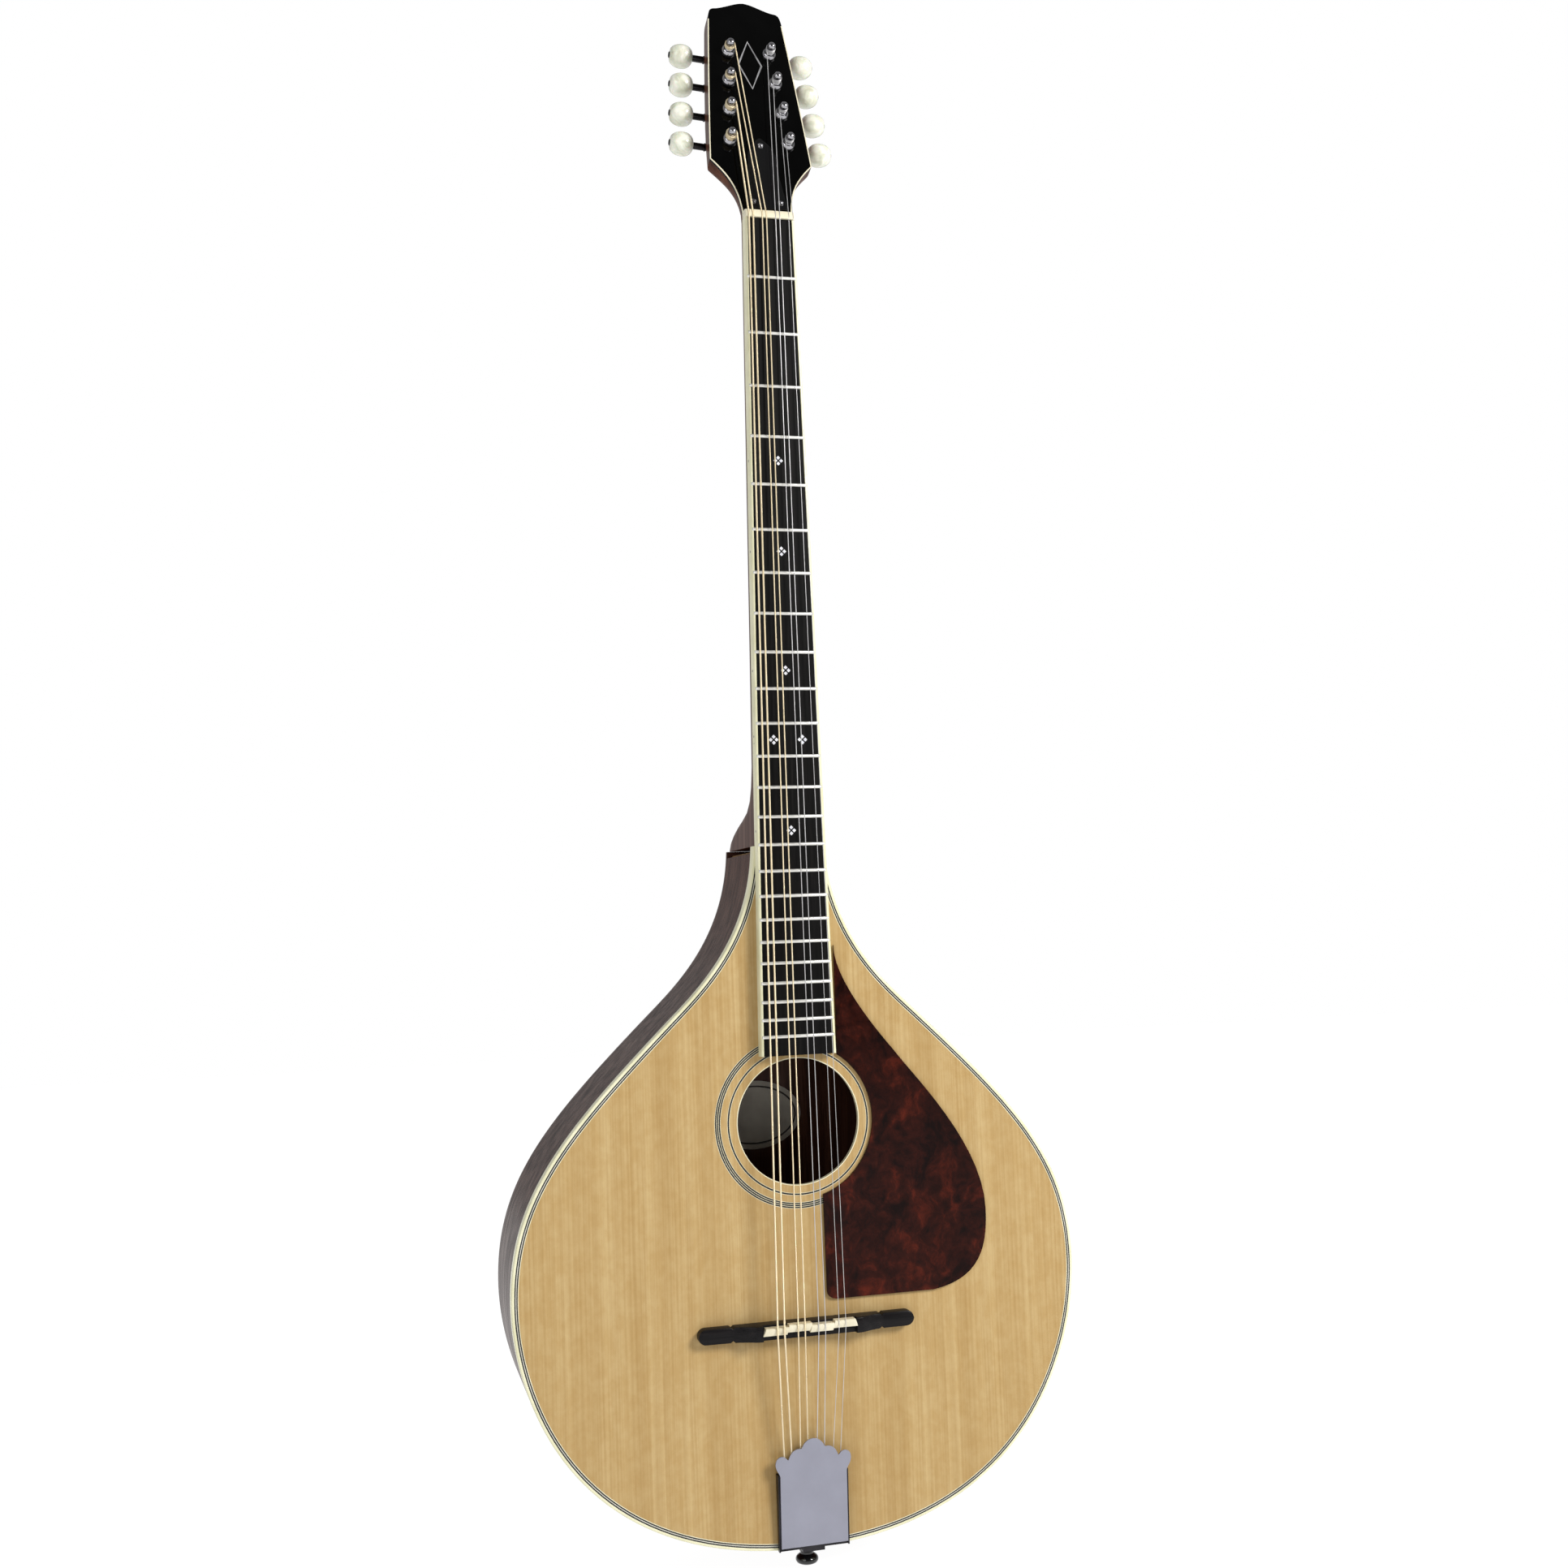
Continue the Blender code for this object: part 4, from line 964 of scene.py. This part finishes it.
def worm(bm, low, high, pitch, side):
    """Threaded length about local Z."""
    steps, rows = 24, 60
    rings = []
    for k in range(rows + 1):
        z = low + (high - low) * k / rows
        fade = min(1.0, (z - low) / 0.8, (high - z) / 0.8)
        ring = []
        for i in range(steps):
            phase = (z / pitch - side * i / steps) % 1.0
            ridge = max(0.0, 1 - abs(phase - 0.5) * 3.2)
            r = 2.15 + 0.75 * ridge * max(fade, 0)
            ring.append((r * math.cos(2 * math.pi * i / steps), r * math.sin(2 * math.pi * i / steps), z))
        rings.append(ring)
    add_loft(bm, rings)


def make_tuner(number):
    """Post with its gear and winding, and knob with its worm shaft."""
    side, row = tuner_of(number)
    place = tuner_frame(side) @ Matrix.Translation((0, 0, row * POST_SPACING))
    post = place @ Matrix.Rotation(math.radians(90), 4, 'X')
    worm_place = Matrix.Translation((0, WORM_DEPTH, WORM_OFFSET))
    knob = place @ worm_place @ Matrix.Rotation(math.radians(side * 90), 4, 'Y')
    on_post, on_knob = f"post_{number}", f"knob_{number}"

    profile = [(0.01, 9.7), (0.9, 9.65), (1.6, 9.35), (2.2, 8.8), (2.5, 8.1), (2.6, 7.5), (2.55, 7.1),
               (WAIST, 6.8), (WAIST, 3.4), (2.9, 2.9), (3.0, 2.5), (3.0, -17.4), (0.01, -17.4)]
    shaft = lathe(f"post_{number}_shaft", profile, 32, post)
    settle(shaft, CHROME, on_post, "steel", f"tuner_post_{number}")

    bm = bmesh.new()
    teeth = 14
    outline = []
    for tooth in range(teeth):
        for turn, radius in ((-0.30, 3.9), (-0.19, 4.0), (-0.11, 5.0), (0.11, 5.0), (0.19, 4.0)):
            angle = 2 * math.pi * (tooth + turn) / teeth
            outline.append((radius * math.cos(angle), radius * math.sin(angle)))
    add_loft(bm, [[(x, y, z) for x, y in outline] for z in (-17.4, -20.4)])
    lathe("", [(2.2, -20.4), (2.2, -21.0), (1.9, -21.5), (1.2, -21.8), (0.01, -21.9)], 24, None, bm)
    gear = soften(piece_from(f"post_{number}_gear", bm, post), 0.12)
    settle(gear, BRASS, on_post, "steel", f"tuner_post_{number}")

    washer = [(3.25, -0.02), (4.6, -0.02), (4.65, 0.4), (4.5, 1.0), (4.2, 1.6), (3.8, 2.2), (3.4, 2.5),
              (3.2, 2.5)]
    bm = bmesh.new()
    rings = []
    for radius, z in washer + [(3.12, 2.2), (3.12, 0.2)]:
        turn = 2 * math.pi / 32
        rings.append([(radius * math.cos(i * turn), radius * math.sin(i * turn), z) for i in range(32)])
    rows = add_loft(bm, rings, caps=False)
    for i in range(32):
        j = (i + 1) % 32
        bm.faces.new((rows[-1][i], rows[-1][j], rows[0][j], rows[0][i]))
    settle(piece_from(f"post_{number}_ferrule", bm, post), CHROME, "instrument", "nickel")

    wire = DIAMETERS[number - 1]
    turns = 2.8 if number > 4 else 5.3
    around = WAIST + wire / 2 + 0.02
    path = []
    count = int(turns * 20)
    for k in range(count + 1):
        angle = (math.pi if side > 0 else 0) - side * 2 * math.pi * k / 20
        drop = WINDING_HEIGHT - wire * 1.04 * k / 20
        path.append((around * math.cos(angle), around * math.sin(angle), drop))
    bm = bmesh.new()
    add_tube(bm, path, wire / 2, 8)
    coil = piece_from(f"post_{number}_winding", bm, post, 60)
    plain = number <= 4
    settle(coil, PLAIN_WIRE if plain else BRONZE_WIRE, on_post, "steel_string" if plain else "bronze_string")

    bm = bmesh.new()
    lathe("", [(0.01, -10.0), (1.9, -10.0), (2.15, -9.7), (2.15, -6.0), (0.01, -6.0)], 20, None, bm)
    worm(bm, -6.0, 6.0, 3.1, side)
    lathe("", [(0.01, 6.0), (2.15, 6.0), (2.15, 11.4), (2.5, 11.7), (2.5, 12.3), (2.1, 12.6), (2.1, 19.8),
               (0.01, 19.8)], 20, None, bm)
    shaft = piece_from(f"knob_{number}_shaft", bm, knob)
    settle(shaft, DARK_STEEL, on_knob, "steel", f"tuner_knob_{number}")

    button = [(0.01, 19.4), (2.7, 19.4), (3.3, 19.6), (4.5, 20.2), (5.6, 21.2), (6.5, 22.5), (7.05, 24.1),
              (7.3, 25.9), (7.25, 27.7), (6.9, 29.5), (6.25, 31.2), (5.3, 32.6), (4.3, 33.5), (3.2, 33.9),
              (2.2, 34.0), (0.01, 34.0)]
    grip = lathe(f"knob_{number}_button", button, 40, knob)
    settle(grip, PEARL, on_knob, "pearl_plastic", f"tuner_knob_{number}")
    cap = [(0.01, 34.8), (1.2, 34.75), (1.8, 34.5), (2.0, 34.1), (2.0, 33.6), (0.01, 33.6)]
    cap = lathe(f"knob_{number}_screw", cap, 20, knob)
    settle(cap, DARK_STEEL, on_knob, "steel")


def make_tuners():
    for number in range(1, 9):
        make_tuner(number)
    for side_name, side in (("treble", 1), ("bass", -1)):
        repaint("tuner_plate_" + side_name, NICKEL, 0.25)
        place = tuner_frame(side)
        for number, z in enumerate((-6.0, 38.5, 61.5, 81.0), 1):
            head = place @ Matrix.Translation((-side * 6.0 if 1 < number < 4 else 0, 15.5, z))
            screw(f"plate_screw_{side_name}_{number}", head, 1.6, facing=1)


# ---------------------------------------------------------------- strings

def make_strings():
    for number, diameter in enumerate(DIAMETERS, 1):
        radius = diameter / 2
        course = 1.5 - (number - 1) // 2
        pair = 1 if number % 2 else -1
        side, row = tuner_of(number)
        post_x, post_z = post_place(side, row)
        end = HEAD @ Vector((post_x - side * (WAIST + radius + 0.02), -WINDING_HEIGHT, post_z))
        hook_x = HOOK_SPACING * (4.5 - number)
        hook = Vector((hook_x, HOOK_Y, HOOK_Z))
        saddle = Vector((12.05 * course + 2.0 * pair, SADDLE_BOTTOM - radius, SADDLE_Z))
        nut = Vector((nut_x(number), NUT_BOTTOM - radius, 1.5))
        points = [hook + Vector((0, -0.4, 1.6)),
                  saddle + Vector((0, 0.05, -1.2)), saddle, saddle + Vector((0, 0, 1.0)),
                  nut + Vector((0, 0, -1.2)), nut, nut + (end - nut).normalized() * 1.2, end]
        bm = bmesh.new()
        add_tube(bm, points, radius, 10)
        loop = []
        for k in range(25):
            angle = 2 * math.pi * k / 24
            loop.append((hook_x + 1.5 * math.sin(angle), HOOK_Y - 0.2 + 0.12 * math.sin(angle),
                         HOOK_Z - 0.6 - 1.9 * math.cos(angle + math.pi)))
        add_tube(bm, loop, max(radius * 0.6, 0.2), 6)
        twist = [hook + Vector((0.3 * math.cos(k), -0.55 * k / 8 - 0.3, 1.2 + k * 0.6)) for k in range(9)]
        add_tube(bm, twist, max(radius * 0.6, 0.2), 6)
        piece = piece_from(f"string_{number}_wire", bm, sharp=60)
        plain = number <= 4
        settle(piece, PLAIN_WIRE if plain else BRONZE_WIRE, "instrument",
               "steel_string" if plain else "bronze_string", f"string_{number}")


# ---------------------------------------------------------------- stage

def area_light(name, place, aim, size, power, color=(1, 1, 1)):
    data = bpy.data.lights.new(name, 'AREA')
    data.shape = 'DISK'
    data.size = size
    data.energy = power
    data.color = color
    lamp = bpy.data.objects.new(name, data)
    lamp.location = place
    lamp.rotation_euler = (Vector(aim) - Vector(place)).to_track_quat('-Z', 'Y').to_euler()
    bpy.context.scene.collection.objects.link(lamp)


def make_stage():
    scene = bpy.context.scene
    scene.view_settings.view_transform = 'Standard'
    world = bpy.data.worlds.new("studio")
    world.use_nodes = True
    nodes, links = world.node_tree.nodes, world.node_tree.links
    split = nodes.new("ShaderNodeSeparateXYZ")
    links.new(nodes.new("ShaderNodeTexCoord").outputs["Generated"], split.inputs[0])
    depth = nodes.new("ShaderNodeMapRange")
    depth.inputs["From Min"].default_value = -1.0
    links.new(split.outputs["Y"], depth.inputs["Value"])
    depth.inputs["To Min"].default_value = FRONT_LIGHT
    depth.inputs["To Max"].default_value = REAR_LIGHT
    seen = nodes.new("ShaderNodeMix")
    seen.inputs[3].default_value = 1.0
    links.new(nodes.new("ShaderNodeLightPath").outputs["Is Camera Ray"], seen.inputs[0])
    links.new(depth.outputs["Result"], seen.inputs[2])
    links.new(seen.outputs[0], nodes["Background"].inputs["Strength"])
    nodes["Background"].inputs["Color"].default_value = (1.0, 1.0, 1.0, 1)
    scene.world = world

    bm = bmesh.new()
    bmesh.ops.create_grid(bm, x_segments=1, y_segments=1, size=4000)
    floor = piece_from("floor", bm, Matrix.Translation((0, 0, -792)))
    look = Look("floor_paint", roughness=0.8, specular_ior_level=0.0, emission_strength=0.97)
    look.shader.inputs["Emission Color"].default_value = (1, 1, 1, 1)
    tone = look.noise(look.place((3, 3, 3)), 1.0, 3.0)
    paint = look.ramp(tone, (0.3, rgb(106, 106, 106)), (0.7, rgb(112, 112, 112)))
    floor.data.materials.append(look.wear(paint))

    area_light("key", (1.3, -1.5, 0.6), (0, 0, -0.45), 0.8, 50, (1.0, 0.985, 0.96))
    area_light("fill", (-1.6, -1.6, 0.3), (0, 0, -0.45), 1.4, 11)

    data = bpy.data.cameras.new("camera")
    data.sensor_width = 36.0
    data.lens = CAMERA_LENS
    data.clip_start = 0.01
    data.clip_end = 50.0
    camera = bpy.data.objects.new("camera", data)
    camera.location = CAMERA_PLACE
    camera.rotation_euler = [math.radians(angle) for angle in CAMERA_ANGLES]
    scene.collection.objects.link(camera)
    scene.camera = camera


make_stage()
make_body()
make_pickguard()
make_neck()
make_truss_cover()
make_fretboard()
make_nut()
make_bridge()
make_tailpiece()
make_tuners()
make_strings()
